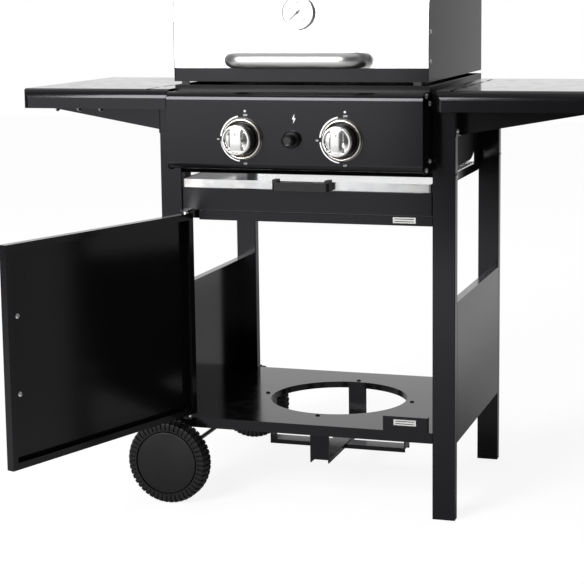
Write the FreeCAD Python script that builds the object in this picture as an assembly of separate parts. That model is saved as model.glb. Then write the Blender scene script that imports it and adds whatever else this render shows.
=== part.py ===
import FreeCAD, Part
import math
import os

# Gas grill on a two-wheeled cart with a hinged hood, a cabinet door and two side tables.
# Millimetres, +X right, +Y back, +Z up. The floor is z = 0.
# The model is laid out about the middle of the cart, then moved in Y so that the whole object is centred.

# Stock and clearances
SHEET = 1.2
TUBE_WALL = 1.5
SLACK = 0.3
RUN = 0.05
OVERRUN = 1.0
EDGE_EASE = 0.5

# Cart frame
CART_WIDTH = 538.0
CART_DEPTH = 422.0
LEG_WIDTH = 40.0
LEG_DEPTH = 20.0
TABLE_HEIGHT = 754.0
TABLE_APRON = 35.0
FOOT_HEIGHT = 4.0
FOOT_PLUG = 16.0

# Wheels and axle
WHEEL_RADIUS = 77.0
WHEEL_WIDTH = 36.0
WHEEL_RIM_RADIUS = 58.5
WHEEL_GAP = 5.5
HUB_RADIUS = 14.0
WHEEL_WEB = 5.0
HUB_CAP_DOME = 3.0
TREAD_CROWN = 5.0
AXLE_RADIUS = 4.0
AXLE_OFFSET = 6.0
LEG_BELOW_AXLE = 22.0
AXLE_CAP_RADIUS = 8.0
AXLE_CAP_LENGTH = 5.0

# Bottom shelf and bottle carrier
SHELF_OVER_WHEEL = 1.0
SHELF_FLANGE = 19.0
BOTTLE_HOLE_RADIUS = 129.5
HOLE_COLLAR = 12.0
STRAP_WIDTH = 36.0
STRAP_THICKNESS = 2.0
STRAP_LIP = 6.0
STRAP_TAB = 18.6
CARRIER_DROP = 88.0

# Side panels and rails
SIDE_PANEL_HEIGHT = 231.0
PANEL_FLANGE = 14.0
SIDE_RAIL_DROP = 174.5
SIDE_RAIL_HEIGHT = 13.0
SIDE_RAIL_THICKNESS = 2.0
LEG_SCREW_DROP = 148.0
RAIL_DEPTH = 20.0
TABLE_RAIL_DROP = 78.0
TABLE_RAIL_HEIGHT = 40.0

# Front rail, apron and drip tray
RAIL_HEIGHT = 16.0
RAIL_SEAM = 1.5
APRON_HEIGHT = 38.7
APRON_SETBACK = 1.0
APRON_END_GAP = 1.5
SEAM_DEPTH = 9.0
END_TAB = 14.0
HINGE_BAY = 32.0
RAIL_TAB_LAP = 12.0
REAR_RAIL_HEIGHT = 13.0
TRAY_DROP = 177.0
TRAY_HEIGHT = 14.6
TRAY_PROUD = 1.0
TRAY_REAR_GAP = 11.0
TRAY_ROUND = 4.0
RUNNER_FLANGE = 16.0
RUNNER_HEIGHT = 15.5
RUNNER_INSET = 2.0
TRAY_HANDLE_WIDTH = 103.0
TRAY_HANDLE_HEIGHT = 15.0
TRAY_HANDLE_REACH = 25.0
TRAY_HANDLE_THICKNESS = 8.0
TRAY_HANDLE_EAR = 4.0
TRAY_HANDLE_ROUND = 5.0

# Control panel
PANEL_SIDE_GAP = 1.0
PANEL_HEIGHT = 137.0
PANEL_REACH = 68.0
PANEL_TOP_DROP = 3.5
PANEL_TOP_ROUND = 13.0
PANEL_FOOT_ROUND = 12.0
PANEL_FOOT = 34.0
CHEEK_DROP = 3.0
CHEEK_SCREWS = ((27.0, 127.0), (53.0, 113.0), (53.0, 16.0), (27.0, 2.5))
KNOB_SPREAD = 178.0
KNOB_DROP = 83.0
KNOB_RADIUS = 26.0
KNOB_REACH = 37.5
KNOB_STANDOFF = 5.0
KNOB_GRIP_WIDTH = 19.0
KNOB_GRIP_PROUD = 1.0
KNOB_GRIP_FILLET = 4.0
KNOB_ROUND = 4.0
KNOB_EDGE = 1.5
KNOB_RING = 4.0
KNOB_BOWL = 6.0
KNOB_CAP = 10.0
BEZEL_RADIUS = 36.0
BEZEL_HEIGHT = 8.0
BEZEL_SLOPE = 3.0
BEZEL_FOOT = 2.4
BEZEL_CLEARANCE = 2.5
KNOB_TRAVEL = 3.0
STEM_RADIUS = 4.0
STEM_DEPTH = 14.0
IGNITER_RADIUS = 15.0
IGNITER_ROUND = 2.5
IGNITER_COLLAR_HEIGHT = 9.0
IGNITER_BODY_RADIUS = 12.5
IGNITER_BODY_LENGTH = 40.0
BUTTON_RADIUS = 10.5
BUTTON_REACH = 28.0
BUTTON_TRAVEL = 6.0
BUTTON_ROUND = 2.0
BUTTON_DISH = 0.8

# Gas train
VALVE_SIZE = 26.0
VALVE_LENGTH = 44.0
NOZZLE_RADIUS = 6.0
NOZZLE_LENGTH = 26.0
MANIFOLD_RADIUS = 8.0
MANIFOLD_DROP = 22.0
MANIFOLD_END_GAP = 28.0
INLET_RADIUS = 6.5
INLET_LENGTH = 14.0
INLET_COLLAR_RADIUS = 9.5
INLET_COLLAR_HEIGHT = 4.0
HOSE_CLEARANCE = 6.0
BURNER_RADIUS = 13.0
BURNER_TAIL_GAP = 30.0
BURNER_PORTS = 14
BURNER_PORT_RADIUS = 1.5
BURNER_REST_WIDTH = 12.0
BURNER_REST_LAP = 14.0

# Firebox and what it holds
FIREBOX_DEPTH = 153.0
FIREBOX_SETBACK = 3.0
FIREBOX_REAR_GAP = 1.0
FIREBOX_FRONT_ROUND = 20.0
FIREBOX_BACK_ROUND = 85.0
HANGER_LENGTH = 43.0
HANGER_HEIGHT = 97.0
FIREBOX_LIP = 30.0
BACK_SHEET_RISE = 49.0
RIM_HEIGHT = 13.0
RIM_FRONT = 22.0
RIM_BACK = 26.0
LEDGE_WIDTH = 12.0
GRATE_DROP = 14.0
GRATE_THICKNESS = 9.0
GRATE_BARS = 14
GRATE_BAR = 6.0
GRATE_FRAME = 9.0
FLAME_COVER_WIDTH = 110.0
FLAME_COVER_RISE = 26.0
FLAME_COVER_GAP = 10.0
ELECTRODE_RADIUS = 3.5
ELECTRODE_LENGTH = 60.0
ELECTRODE_TAIL = 8.0

# Hood
HOOD_GAP = 6.0
HOOD_HEIGHT = 233.5
HOOD_FRONT_LAP = 2.0
HOOD_FRONT_ROUND = 130.0
HOOD_BACK_ROUND = 70.0
HOOD_STRIP = 23.5
HOOD_SEAM_LAP = 10.0
HOOD_HANDLE_SPAN = 226.0
HOOD_HANDLE_RADIUS = 14.0
HOOD_HANDLE_REACH = 42.0
HOOD_HANDLE_BEND = 26.0
HOOD_HANDLE_HEIGHT = 38.5
HINGE_SPREAD = 300.0
HINGE_WIDTH = 44.0
HINGE_LEAF = 15.0
HINGE_KNUCKLE = 5.0
HINGE_PIN = 2.5
HOOD_RIVET_EDGE = 8.0
HOOD_RIVET_RISE = (10.0, 60.0)
BUMPER_WIDTH = 14.0
BUMPER_INSET = 12.0
GAUGE_RADIUS = 30.0
GAUGE_DEPTH = 8.0
GAUGE_ROUND = 2.0
GAUGE_HEIGHT = 118.0
GAUGE_STEM_RADIUS = 3.0
GAUGE_STEM_LENGTH = 50.0

# Side tables
LEFT_TABLE_LAP = 3.0
RIGHT_TABLE_LAP = 17.0
TABLE_OVERHANG = 241.0
TABLE_FRONT = 55.0
TABLE_DEPTH = 418.0
TABLE_ROUND = 16.0
TABLE_CORNER = 10.0
LEFT_TABLE_CORNER = 3.0
SLOT_COUNT = 5
SLOT_LENGTH = 56.0
SLOT_WIDTH = 5.0
SLOT_PITCH = 76.0
SLOT_INSET = 23.0
SLOT_SHIFT = 20.0
GUSSET_DROP = 81.0
GUSSET_SCREW_RISE = 10.0
GUSSET_TIP_RISE = 39.0
GUSSET_TIP_GAP = 17.0
GUSSET_FLANGE = 43.0
GUSSET_TOP_FLANGE = 18.0
GUSSET_REAR_INSET = 42.0
HOOK_COUNT = 3
HOOK_PITCH = 42.0
HOOK_RADIUS = 2.0
HOOK_BEND = 6.0
HOOK_DROP = 20.0
HOOK_WELD = 0.5
HOOK_BAR = 16.0
HOOK_BAR_LIFT = 2.0
HOOK_SHIFT = 33.0

# Door
DOOR_GAP = 1.0
DOOR_FLOOR_GAP = 9.0
DOOR_LAP = 11.5
DOOR_DEPTH = 14.0
DOOR_LIP = 10.0
DOOR_AIR = 2.5
DOOR_OPEN = 109.3
PIN_INSET = 10.0
PIN_BACK = 8.5
PIN_RADIUS = 3.0
PIN_GRIP = 6.0
PIN_COLLAR = 5.5
PIN_PLATE = 2.5
PIN_WASHER = 1.5
DOOR_HANDLE_SPAN = 128.0
DOOR_HANDLE_INSET = 32.0
DOOR_HANDLE_EASE = 2.5
DOOR_HANDLE_REACH = 28.0
DOOR_HANDLE_RADIUS = 6.0
DOOR_HANDLE_POST = 4.5
DOOR_HANDLE_OVERHANG = 14.0

# Magnet catches
CATCH_WIDTH = 40.0
CATCH_HEIGHT = 10.0
CATCH_INSET = 28.5
CATCH_LIFT = 11.0
CATCH_RISE = 4.5
CATCH_BRACKET_WIDTH = 80.0
CATCH_BRACKET_HEIGHT = 26.0
CATCH_BRACKET_DEPTH = 13.0
CATCH_BRACKET_INSET = 8.5

# Screws
SCREW_HEAD = 4.2
SCREW_DOME = 2.4
SCREW_SHANK = 2.0
SCREW_LENGTH = 7.0
SCREW_PLAY = 0.2

# Planes and lines of the cart, worked out from the values above
leg_x = CART_WIDTH / 2
leg_in = leg_x - LEG_WIDTH
leg_y = CART_DEPTH / 2
leg_in_y = leg_y - LEG_DEPTH
leg_top = TABLE_HEIGHT - TABLE_APRON
axle_x = -(leg_x - LEG_WIDTH / 2) - AXLE_OFFSET
axle_z = WHEEL_RADIUS
wheel_in = leg_y + WHEEL_GAP
wheel_out = wheel_in + WHEEL_WIDTH
shelf_z = 2 * WHEEL_RADIUS + SHELF_OVER_WHEEL
carrier_z = shelf_z - CARRIER_DROP
side_panel_top = shelf_z + SIDE_PANEL_HEIGHT
side_rail_bottom = TABLE_HEIGHT - SIDE_RAIL_DROP
table_rail_bottom = TABLE_HEIGHT - TABLE_RAIL_DROP
bay = leg_in - SLACK
tray_bottom = TABLE_HEIGHT - TRAY_DROP
runner_top = tray_bottom - SLACK
apron_top = runner_top - SHEET - SLACK
apron_bottom = apron_top - APRON_HEIGHT
rail_top = apron_bottom - RAIL_SEAM
rail_bottom = rail_top - RAIL_HEIGHT
tray_half = bay - SHEET - 2 * SLACK
tray_top = tray_bottom + TRAY_HEIGHT
tray_front = -leg_y - TRAY_PROUD
panel_half = leg_in - PANEL_SIDE_GAP
panel_bottom = TABLE_HEIGHT - PANEL_HEIGHT
panel_top = TABLE_HEIGHT - PANEL_TOP_DROP
panel_front = -leg_y - PANEL_REACH
panel_inside = panel_front + SHEET
knob_z = TABLE_HEIGHT - KNOB_DROP
manifold_y = panel_inside + VALVE_LENGTH / 2
manifold_z = knob_z - MANIFOLD_DROP
manifold_half = panel_half - MANIFOLD_END_GAP
inlet_x = manifold_half - 2 * MANIFOLD_RADIUS
knob_back = panel_front - KNOB_STANDOFF
knob_front = panel_front - KNOB_REACH
firebox_front = -leg_y + FIREBOX_SETBACK
firebox_back = leg_in_y - FIREBOX_REAR_GAP
firebox_bottom = TABLE_HEIGHT - FIREBOX_DEPTH
rim_bottom = TABLE_HEIGHT - RIM_HEIGHT / 2
rim_top = rim_bottom + RIM_HEIGHT
rim_front = -leg_y - RIM_FRONT
rim_back = firebox_back + RIM_BACK
hood_bottom = rim_top + HOOD_GAP
hood_top = hood_bottom + HOOD_HEIGHT
hood_front = rim_front - HOOD_FRONT_LAP
hood_back = rim_back
strip_top = hood_bottom + HOOD_STRIP
hinge_y = rim_back + HINGE_KNUCKLE + SLACK
hinge_z = (rim_top + hood_bottom) / 2
table_front = -leg_y - TABLE_FRONT
table_back = table_front + TABLE_DEPTH
left_table_inner = leg_in + LEFT_TABLE_LAP
right_table_inner = leg_in + RIGHT_TABLE_LAP
table_outer = leg_x + TABLE_OVERHANG
gusset_bottom = TABLE_HEIGHT - GUSSET_DROP
gusset_rear = table_back - GUSSET_REAR_INSET
burner_z = knob_z
knob_x = KNOB_SPREAD / 2
grate_z = rim_top - GRATE_DROP - GRATE_THICKNESS
cover_z = burner_z + BURNER_RADIUS + FLAME_COVER_GAP
door_width = 2 * leg_in - 2 * DOOR_GAP
door_bottom = shelf_z + DOOR_FLOOR_GAP
door_top = rail_bottom + DOOR_LAP
door_mid = (door_bottom + door_top) / 2
door_inner_y = -leg_y - DOOR_AIR
pin_x = -door_width / 2 + PIN_INSET
pin_y = door_inner_y - PIN_BACK
strap_in = BOTTLE_HOLE_RADIUS + SHEET + SLACK
strap_out = strap_in + STRAP_THICKNESS
strap_screw = strap_out + STRAP_TAB / 2

# The open door's near edge and the rear hub cap set the middle of the object in Y.
swing = math.radians(DOOR_OPEN)
door_reach = pin_y - (door_width - PIN_INSET) * math.sin(swing) + PIN_BACK * math.cos(swing)
rear_reach = wheel_out + HUB_CAP_DOME
CENTRE_Y = -(door_reach + rear_reach) / 2


def V(x, y, z):
    return FreeCAD.Vector(x, y, z)


AXIS = {"x": V(1, 0, 0), "y": V(0, 1, 0), "z": V(0, 0, 1)}


def box(x0, x1, y0, y1, z0, z1):
    """A block between two corners."""
    return Part.makeBox(x1 - x0, y1 - y0, z1 - z0, V(x0, y0, z0))


def rod(start, end, radius):
    """A round bar from one point to another."""
    run = end - start
    return Part.makeCylinder(radius, run.Length, start, run)


def rounded_face(points, radii, place):
    """A face from a polygon whose corners are rounded; place turns (a, b) into a point in space."""
    count = len(points)
    edges = []
    ends = []
    for i in range(count):
        p = FreeCAD.Vector(points[i][0], points[i][1], 0)
        before = FreeCAD.Vector(points[i - 1][0], points[i - 1][1], 0)
        after = FreeCAD.Vector(points[(i + 1) % count][0], points[(i + 1) % count][1], 0)
        a = (before - p).normalize()
        b = (after - p).normalize()
        half = a.getAngle(b) / 2
        reach = radii[i] / math.tan(half)
        middle = p + (a + b).normalize() * (radii[i] / math.sin(half) - radii[i]) if radii[i] else p
        ends.append((p + a * reach, middle, p + b * reach))
    for i in range(count):
        start, middle, end = (place(q.x, q.y) for q in ends[i])
        if radii[i]:
            edges.append(Part.Arc(start, middle, end).toShape())
        following = place(ends[(i + 1) % count][0].x, ends[(i + 1) % count][0].y)
        if (following - end).Length > 1e-6:
            edges.append(Part.LineSegment(end, following).toShape())
    return Part.Face(Part.Wire(edges))


def profile_x(points, x0, x1, radii=None):
    """A (y, z) outline carried along X."""
    face = rounded_face(points, radii or [0] * len(points), lambda y, z: V(x0, y, z))
    return face.extrude(V(x1 - x0, 0, 0))


def profile_y(points, y0, y1, radii=None):
    """An (x, z) outline carried along Y."""
    face = rounded_face(points, radii or [0] * len(points), lambda x, z: V(x, y0, z))
    return face.extrude(V(0, y1 - y0, 0))


def profile_z(points, z0, z1, radii=None):
    """An (x, y) outline carried along Z."""
    face = rounded_face(points, radii or [0] * len(points), lambda x, y: V(x, y, z0))
    return face.extrude(V(0, 0, z1 - z0))


def turned(profile, centre, axis):
    """A solid of revolution: profile is (radius, along) about an axis through centre."""
    along = AXIS[axis]
    side = AXIS["z"] if axis != "z" else AXIS["x"]
    points = [centre + side * r + along * a for r, a in profile]
    wire = Part.makePolygon(points + [points[0]])
    return Part.Face(wire).revolve(centre, along, 360)


def mirrored(shape):
    """The same piece on the other side of the cart."""
    return shape.mirror(V(0, 0, 0), AXIS["x"])


def rectangle(x0, x1, y0, y1):
    return [(x0, y0), (x1, y0), (x1, y1), (x0, y1)]


def tube(x0, x1, y0, y1, z0, z1):
    """An upright rectangular tube with rounded outer corners."""
    outer = profile_z(rectangle(x0, x1, y0, y1), z0, z1, [TUBE_WALL] * 4)
    inner = box(x0 + TUBE_WALL, x1 - TUBE_WALL, y0 + TUBE_WALL, y1 - TUBE_WALL, z0, z1)
    return outer.cut(inner)


def screw(point, way):
    """A domed screw seated on a surface at point; way points out of the surface."""
    out = FreeCAD.Vector(way).normalize()
    head = Part.makeCylinder(SCREW_HEAD, SCREW_DOME, point, out)
    crown = [e for e in head.Edges if e.CenterOfMass.distanceToPoint(point) > 1 and len(e.Vertexes) == 1]
    head = head.makeFillet(SCREW_DOME - EDGE_EASE, crown)
    return head.fuse(rod(point - out * SCREW_LENGTH, point + out * SCREW_DOME / 2, SCREW_SHANK))


def drilled(shape, places):
    """Clear holes for the shanks of screws given as (point, way)."""
    for point, way in places:
        out = FreeCAD.Vector(way).normalize()
        deep = point - out * (SCREW_LENGTH + OVERRUN)
        shape = shape.cut(rod(deep, point + out * OVERRUN, SCREW_SHANK + SCREW_PLAY))
    return shape


nodes = {}


def keep(name, *solids):
    """Hold a node's solids until they are written out."""
    nodes[name] = Part.makeCompound(list(solids)) if len(solids) > 1 else solids[0]


# Screw places: each list is (point on the outer surface, way out)
leg_screw_z = TABLE_HEIGHT - LEG_SCREW_DROP
right_leg_screws = []
for side_y in (-1, 1):
    y = side_y * (leg_y - LEG_DEPTH / 2)
    right_leg_screws.append((V(leg_x, y, leg_screw_z), (1, 0, 0)))
gusset_face = leg_x + SHEET
gusset_screw_y = -leg_y + LEG_DEPTH / 2
table_rail_z = table_rail_bottom + TABLE_RAIL_HEIGHT / 2
right_gusset_screws = [(V(gusset_face, gusset_screw_y, gusset_bottom + GUSSET_SCREW_RISE), (1, 0, 0)),
                       (V(gusset_face, gusset_rear + GUSSET_FLANGE / 2, table_rail_z), (1, 0, 0))]


def left_of(places):
    return [(V(-p.x, p.y, p.z), (-w[0], w[1], w[2])) for p, w in places]


side_screws = right_leg_screws + right_gusset_screws
cheek_top = rim_bottom - SLACK
cheek_bottom = panel_bottom - CHEEK_DROP
cheek_screws = [(V(panel_half, panel_front + back, panel_bottom + rise), (1, 0, 0))
                for back, rise in CHEEK_SCREWS]
strap_screws = [(V(strap_screw * x, strap_screw * y, shelf_z), (0, 0, 1))
                for x, y in ((1, 0), (-1, 0), (0, 1), (0, -1))]

# Legs: upright tubes; the right pair stands on foot caps, the left pair is carried by the axle
left_leg_end = axle_z - LEG_BELOW_AXLE
for side, sx in (("left", -1), ("right", 1)):
    for row, sy in (("front", -1), ("rear", 1)):
        x0, x1 = sorted((sx * leg_x, sx * leg_in))
        y0, y1 = sorted((sy * leg_y, sy * leg_in_y))
        leg = tube(x0, x1, y0, y1, FOOT_HEIGHT if sx > 0 else left_leg_end, leg_top)
        if sx < 0:
            leg = leg.cut(rod(V(axle_x, y0 - OVERRUN, axle_z), V(axle_x, y1 + OVERRUN, axle_z),
                              AXLE_RADIUS + RUN))
        leg = drilled(leg, side_screws if sx > 0 else left_of(side_screws))
        keep(f"{row}_{side}_leg", leg)

# Foot caps pushed into the right legs
feet = []
for sy in (-1, 1):
    y0, y1 = sorted((sy * leg_y, sy * leg_in_y))
    pad = profile_z(rectangle(leg_in, leg_x, y0, y1), 0, FOOT_HEIGHT, [TUBE_WALL] * 4)
    inset = TUBE_WALL + SLACK
    plug = box(leg_in + inset, leg_x - inset, y0 + inset, y1 - inset, 0, FOOT_HEIGHT + FOOT_PLUG)
    feet.append(pad.fuse(plug).removeSplitter())
keep("foot_caps", *feet)

# Axle and wheels
axle_end = wheel_out - WHEEL_WEB
axle_set = [rod(V(axle_x, -axle_end, axle_z), V(axle_x, axle_end, axle_z), AXLE_RADIUS)]
hub_face = wheel_out - WHEEL_WEB - AXLE_CAP_LENGTH
for row, sy in (("front", -1), ("rear", 1)):
    centre = V(axle_x, 0, axle_z)
    shoulder = WHEEL_RADIUS - TREAD_CROWN
    wheel_mid = (wheel_in + wheel_out) / 2
    quarter = WHEEL_WIDTH / 4
    inner_rim = WHEEL_RIM_RADIUS - WHEEL_WEB
    tyre = [(WHEEL_RIM_RADIUS, wheel_in), (shoulder, wheel_in), (WHEEL_RADIUS, wheel_mid - quarter),
            (WHEEL_RADIUS, wheel_mid + quarter), (shoulder, wheel_out), (WHEEL_RIM_RADIUS, wheel_out)]
    disc = [(AXLE_RADIUS + RUN, leg_y + SLACK), (HUB_RADIUS, leg_y + SLACK),
            (HUB_RADIUS, wheel_mid - WHEEL_WEB / 2),
            (inner_rim, wheel_mid - WHEEL_WEB / 2), (inner_rim, wheel_in + SHEET),
            (WHEEL_RIM_RADIUS, wheel_in + SHEET), (WHEEL_RIM_RADIUS, wheel_out - WHEEL_WEB),
            (inner_rim, wheel_out - WHEEL_WEB), (inner_rim, wheel_mid + WHEEL_WEB / 2),
            (HUB_RADIUS, wheel_mid + WHEEL_WEB / 2), (HUB_RADIUS, hub_face), (AXLE_RADIUS + RUN, hub_face)]
    cap_seat = wheel_out - WHEEL_WEB
    cap = [(0, cap_seat + SHEET), (0, wheel_out + HUB_CAP_DOME), (inner_rim, wheel_out),
           (WHEEL_RIM_RADIUS, wheel_out - SHEET), (WHEEL_RIM_RADIUS, cap_seat), (inner_rim, cap_seat)]
    nut = [(AXLE_RADIUS + RUN, hub_face + SLACK), (AXLE_CAP_RADIUS, hub_face + SLACK),
           (AXLE_CAP_RADIUS, axle_end - SLACK), (AXLE_RADIUS + RUN, axle_end - SLACK)]
    wheel = turned([(r, sy * a) for r, a in tyre], centre, "y")
    wheel = wheel.fuse(turned([(r, sy * a) for r, a in disc], centre, "y"))
    keep(f"{row}_wheel", wheel.removeSplitter())
    keep(f"{row}_hub_cap", turned([(r, sy * a) for r, a in cap], centre, "y"))
    axle_set.append(turned([(r, sy * a) for r, a in nut], centre, "y"))
keep("axle_and_caps", *axle_set)

# Bottom shelf: a folded tray notched round the legs, with a collared bottle hole
flange_z = shelf_z - SHELF_FLANGE
notch_x = leg_in - SLACK
notch_y = leg_in_y - SLACK
shelf = box(-leg_x, leg_x, -notch_y, notch_y, flange_z, shelf_z)
shelf = shelf.fuse(box(-notch_x, notch_x, -leg_y, leg_y, flange_z, shelf_z))
under = shelf_z - SHEET
hollow = box(-leg_x + SHEET, leg_x - SHEET, -notch_y + SHEET, notch_y - SHEET, flange_z, under)
hollow = hollow.fuse(box(-notch_x + SHEET, notch_x - SHEET, -leg_y + SHEET, leg_y - SHEET, flange_z, under))
shelf = shelf.cut(hollow)
collar_z = shelf_z - HOLE_COLLAR
shelf = shelf.fuse(rod(V(0, 0, collar_z), V(0, 0, shelf_z), BOTTLE_HOLE_RADIUS + SHEET))
shelf = shelf.cut(rod(V(0, 0, collar_z), V(0, 0, shelf_z), BOTTLE_HOLE_RADIUS))
keep("bottom_shelf", drilled(shelf, strap_screws).removeSplitter())


def bottle_strap(drop):
    """A hanging strap along X: tab, leg, base, leg, tab, with a lip along both edges of its base."""
    half = STRAP_WIDTH / 2
    top = shelf_z - SHEET
    tab = top - STRAP_THICKNESS
    tab_end = strap_out + STRAP_TAB
    floor = drop + STRAP_THICKNESS
    section = [(-tab_end, top), (-strap_in, top), (-strap_in, floor), (strap_in, floor), (strap_in, top),
               (tab_end, top), (tab_end, tab), (strap_out, tab), (strap_out, drop), (-strap_out, drop),
               (-strap_out, tab), (-tab_end, tab)]
    strap = profile_y(section, -half, half)
    for y0, y1 in ((-half, -half + STRAP_THICKNESS), (half - STRAP_THICKNESS, half)):
        strap = strap.fuse(box(-strap_out, strap_out, y0, y1, drop - STRAP_LIP, drop))
    return strap.removeSplitter()


# Bottle carrier: the cross strap passes under the long strap, whose lips are notched where they meet
notch_half = STRAP_WIDTH / 2 + SLACK
long_base = carrier_z + STRAP_THICKNESS
long_strap = bottle_strap(long_base)
long_strap = long_strap.cut(box(-notch_half, notch_half, -notch_half, notch_half,
                                long_base - STRAP_LIP, long_base))
long_strap.rotate(V(0, 0, 0), AXIS["z"], 90)
cross_strap = bottle_strap(carrier_z)
keep("bottle_straps", drilled(long_strap, strap_screws), drilled(cross_strap, strap_screws))
keep("strap_screws", *[screw(p, w) for p, w in strap_screws])

# Side panels: folded sheets that stand on the shelf between the legs
panel_y = leg_in_y - SLACK
side_panel = box(leg_x - PANEL_FLANGE, leg_x, -panel_y, panel_y, shelf_z, side_panel_top)
side_panel = side_panel.cut(box(leg_x - PANEL_FLANGE, leg_x - SHEET, -panel_y + SHEET, panel_y - SHEET,
                                shelf_z, side_panel_top - SHEET))
keep("side_panels", side_panel, mirrored(side_panel))

# Side rails: low flat bars that tie the legs and carry the firebox, high channels that carry the tables
side_rail_top = side_rail_bottom + SIDE_RAIL_HEIGHT
low_rail = box(leg_in, leg_in + SIDE_RAIL_THICKNESS, -panel_y, panel_y, side_rail_bottom, side_rail_top)
keep("side_rails", low_rail, mirrored(low_rail))
rail_in = leg_x - RAIL_DEPTH
table_rail_top = table_rail_bottom + TABLE_RAIL_HEIGHT
high_rail = box(rail_in, leg_x, -panel_y, panel_y, table_rail_bottom, table_rail_top)
high_rail = high_rail.cut(box(rail_in, leg_x - TUBE_WALL, -panel_y, panel_y, table_rail_bottom + TUBE_WALL,
                              table_rail_top - TUBE_WALL))
high_rail = drilled(high_rail, right_gusset_screws)
keep("table_rails", high_rail, mirrored(high_rail))


def channel_x(x0, x1, y0, y1, z0, z1, back):
    """A channel across the cart; back is the side that is open, +1 or -1 in Y."""
    rail = box(x0, x1, y0, y1, z0, z1)
    inner = (y0 + SHEET, y1) if back > 0 else (y0, y1 - SHEET)
    return rail.cut(box(x0, x1, inner[0], inner[1], z0 + SHEET, z1 - SHEET))


# Front rail with a tab behind the door hinge, front apron, and rear rail behind the tray
# Strips and end tabs behind their faces close the seams
seam_y0 = -leg_y + SEAM_DEPTH
seam_y1 = seam_y0 + SHEET
rail_left = -bay + HINGE_BAY
front_rail = channel_x(rail_left, bay, -leg_y, -leg_in_y, rail_bottom, rail_top, 1)
rail_tab = box(-bay, rail_left + RAIL_TAB_LAP, -leg_in_y - SHEET, -leg_in_y, rail_bottom, rail_top)
seam_strip = box(rail_left, bay, seam_y0, seam_y1, rail_top, apron_bottom)
rail_end = box(bay - END_TAB, bay, seam_y0, seam_y1, rail_bottom, rail_top)
keep("front_rail", front_rail.fuse([rail_tab, seam_strip, rail_end]).removeSplitter())
apron_front = -leg_y + APRON_SETBACK
apron = channel_x(-bay, bay, apron_front, -leg_in_y, apron_bottom, apron_top, 1)
for sx in (-1, 1):
    x0, x1 = sorted((sx * bay, sx * (bay - APRON_END_GAP)))
    apron = apron.cut(box(x0, x1, apron_front, apron_front + 2 * SHEET, apron_bottom, apron_top))
    x0, x1 = sorted((sx * bay, sx * (bay - END_TAB)))
    apron = apron.fuse(box(x0, x1, seam_y0, seam_y1, apron_bottom, apron_top))
keep("front_apron", apron.removeSplitter())
rear_rail_top = tray_bottom + REAR_RAIL_HEIGHT
keep("rear_rail", channel_x(-bay, bay, leg_in_y, leg_y, tray_bottom, rear_rail_top, -1))

# Tray runners: angles along the side rails, from the front legs to the rear rail
runner_front = -leg_y + RUNNER_INSET
runner = box(bay - RUNNER_FLANGE, bay, runner_front, panel_y, runner_top - SHEET, runner_top)
runner = runner.fuse(box(bay - SHEET, bay, runner_front, panel_y,
                         runner_top - SHEET, runner_top + RUNNER_HEIGHT))
runner = runner.removeSplitter()
keep("tray_runners", runner, mirrored(runner))

# Drip tray and its handle, which slide out together
tray_back = leg_in_y - TRAY_REAR_GAP
tray_points = rectangle(-tray_half, tray_half, tray_front, tray_back)
tray = profile_z(tray_points, tray_bottom, tray_top, [TRAY_ROUND] * 4)
tray_inside = rectangle(-tray_half + SHEET, tray_half - SHEET, tray_front + SHEET, tray_back - SHEET)
keep("drip_tray", tray.cut(profile_z(tray_inside, tray_bottom + SHEET, tray_top, [TRAY_ROUND - SHEET] * 4)))
grip_half = TRAY_HANDLE_WIDTH / 2
grip_front = tray_front - TRAY_HANDLE_REACH
grip_points = rectangle(-grip_half, grip_half, grip_front, tray_front)
finger = rectangle(-grip_half + TRAY_HANDLE_THICKNESS, grip_half - TRAY_HANDLE_THICKNESS,
                   grip_front + TRAY_HANDLE_THICKNESS, tray_front)
handle_top = tray_bottom + TRAY_HANDLE_HEIGHT
ear_top = handle_top + TRAY_HANDLE_EAR
ear_front = grip_front + TRAY_HANDLE_THICKNESS / 2
tray_handle = profile_z(grip_points, tray_bottom, handle_top, [TRAY_HANDLE_ROUND, TRAY_HANDLE_ROUND, 0, 0])
for sx in (-1, 1):
    x0, x1 = sorted((sx * grip_half, sx * (grip_half - TRAY_HANDLE_THICKNESS)))
    tray_handle = tray_handle.fuse(box(x0, x1, ear_front, tray_front, tray_bottom, ear_top))
tray_handle = tray_handle.cut(profile_z(finger, tray_bottom, ear_top, [TRAY_ROUND, TRAY_ROUND, 0, 0]))
keep("drip_tray_handle", tray_handle.removeSplitter())


def panel_outline(inset):
    """Side outline (y, z) of the panel's bent front sheet; an inset outline runs on past its open back."""
    run_on = PANEL_REACH if inset else 0
    front = panel_front + inset
    low = panel_bottom + inset
    high = panel_top - inset
    points = [(front, low), (panel_front + PANEL_FOOT + run_on, low),
              (rim_front - SLACK + run_on, high), (front, high)]
    return points, [PANEL_FOOT_ROUND - inset, 0, 0, PANEL_TOP_ROUND - inset]


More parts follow.
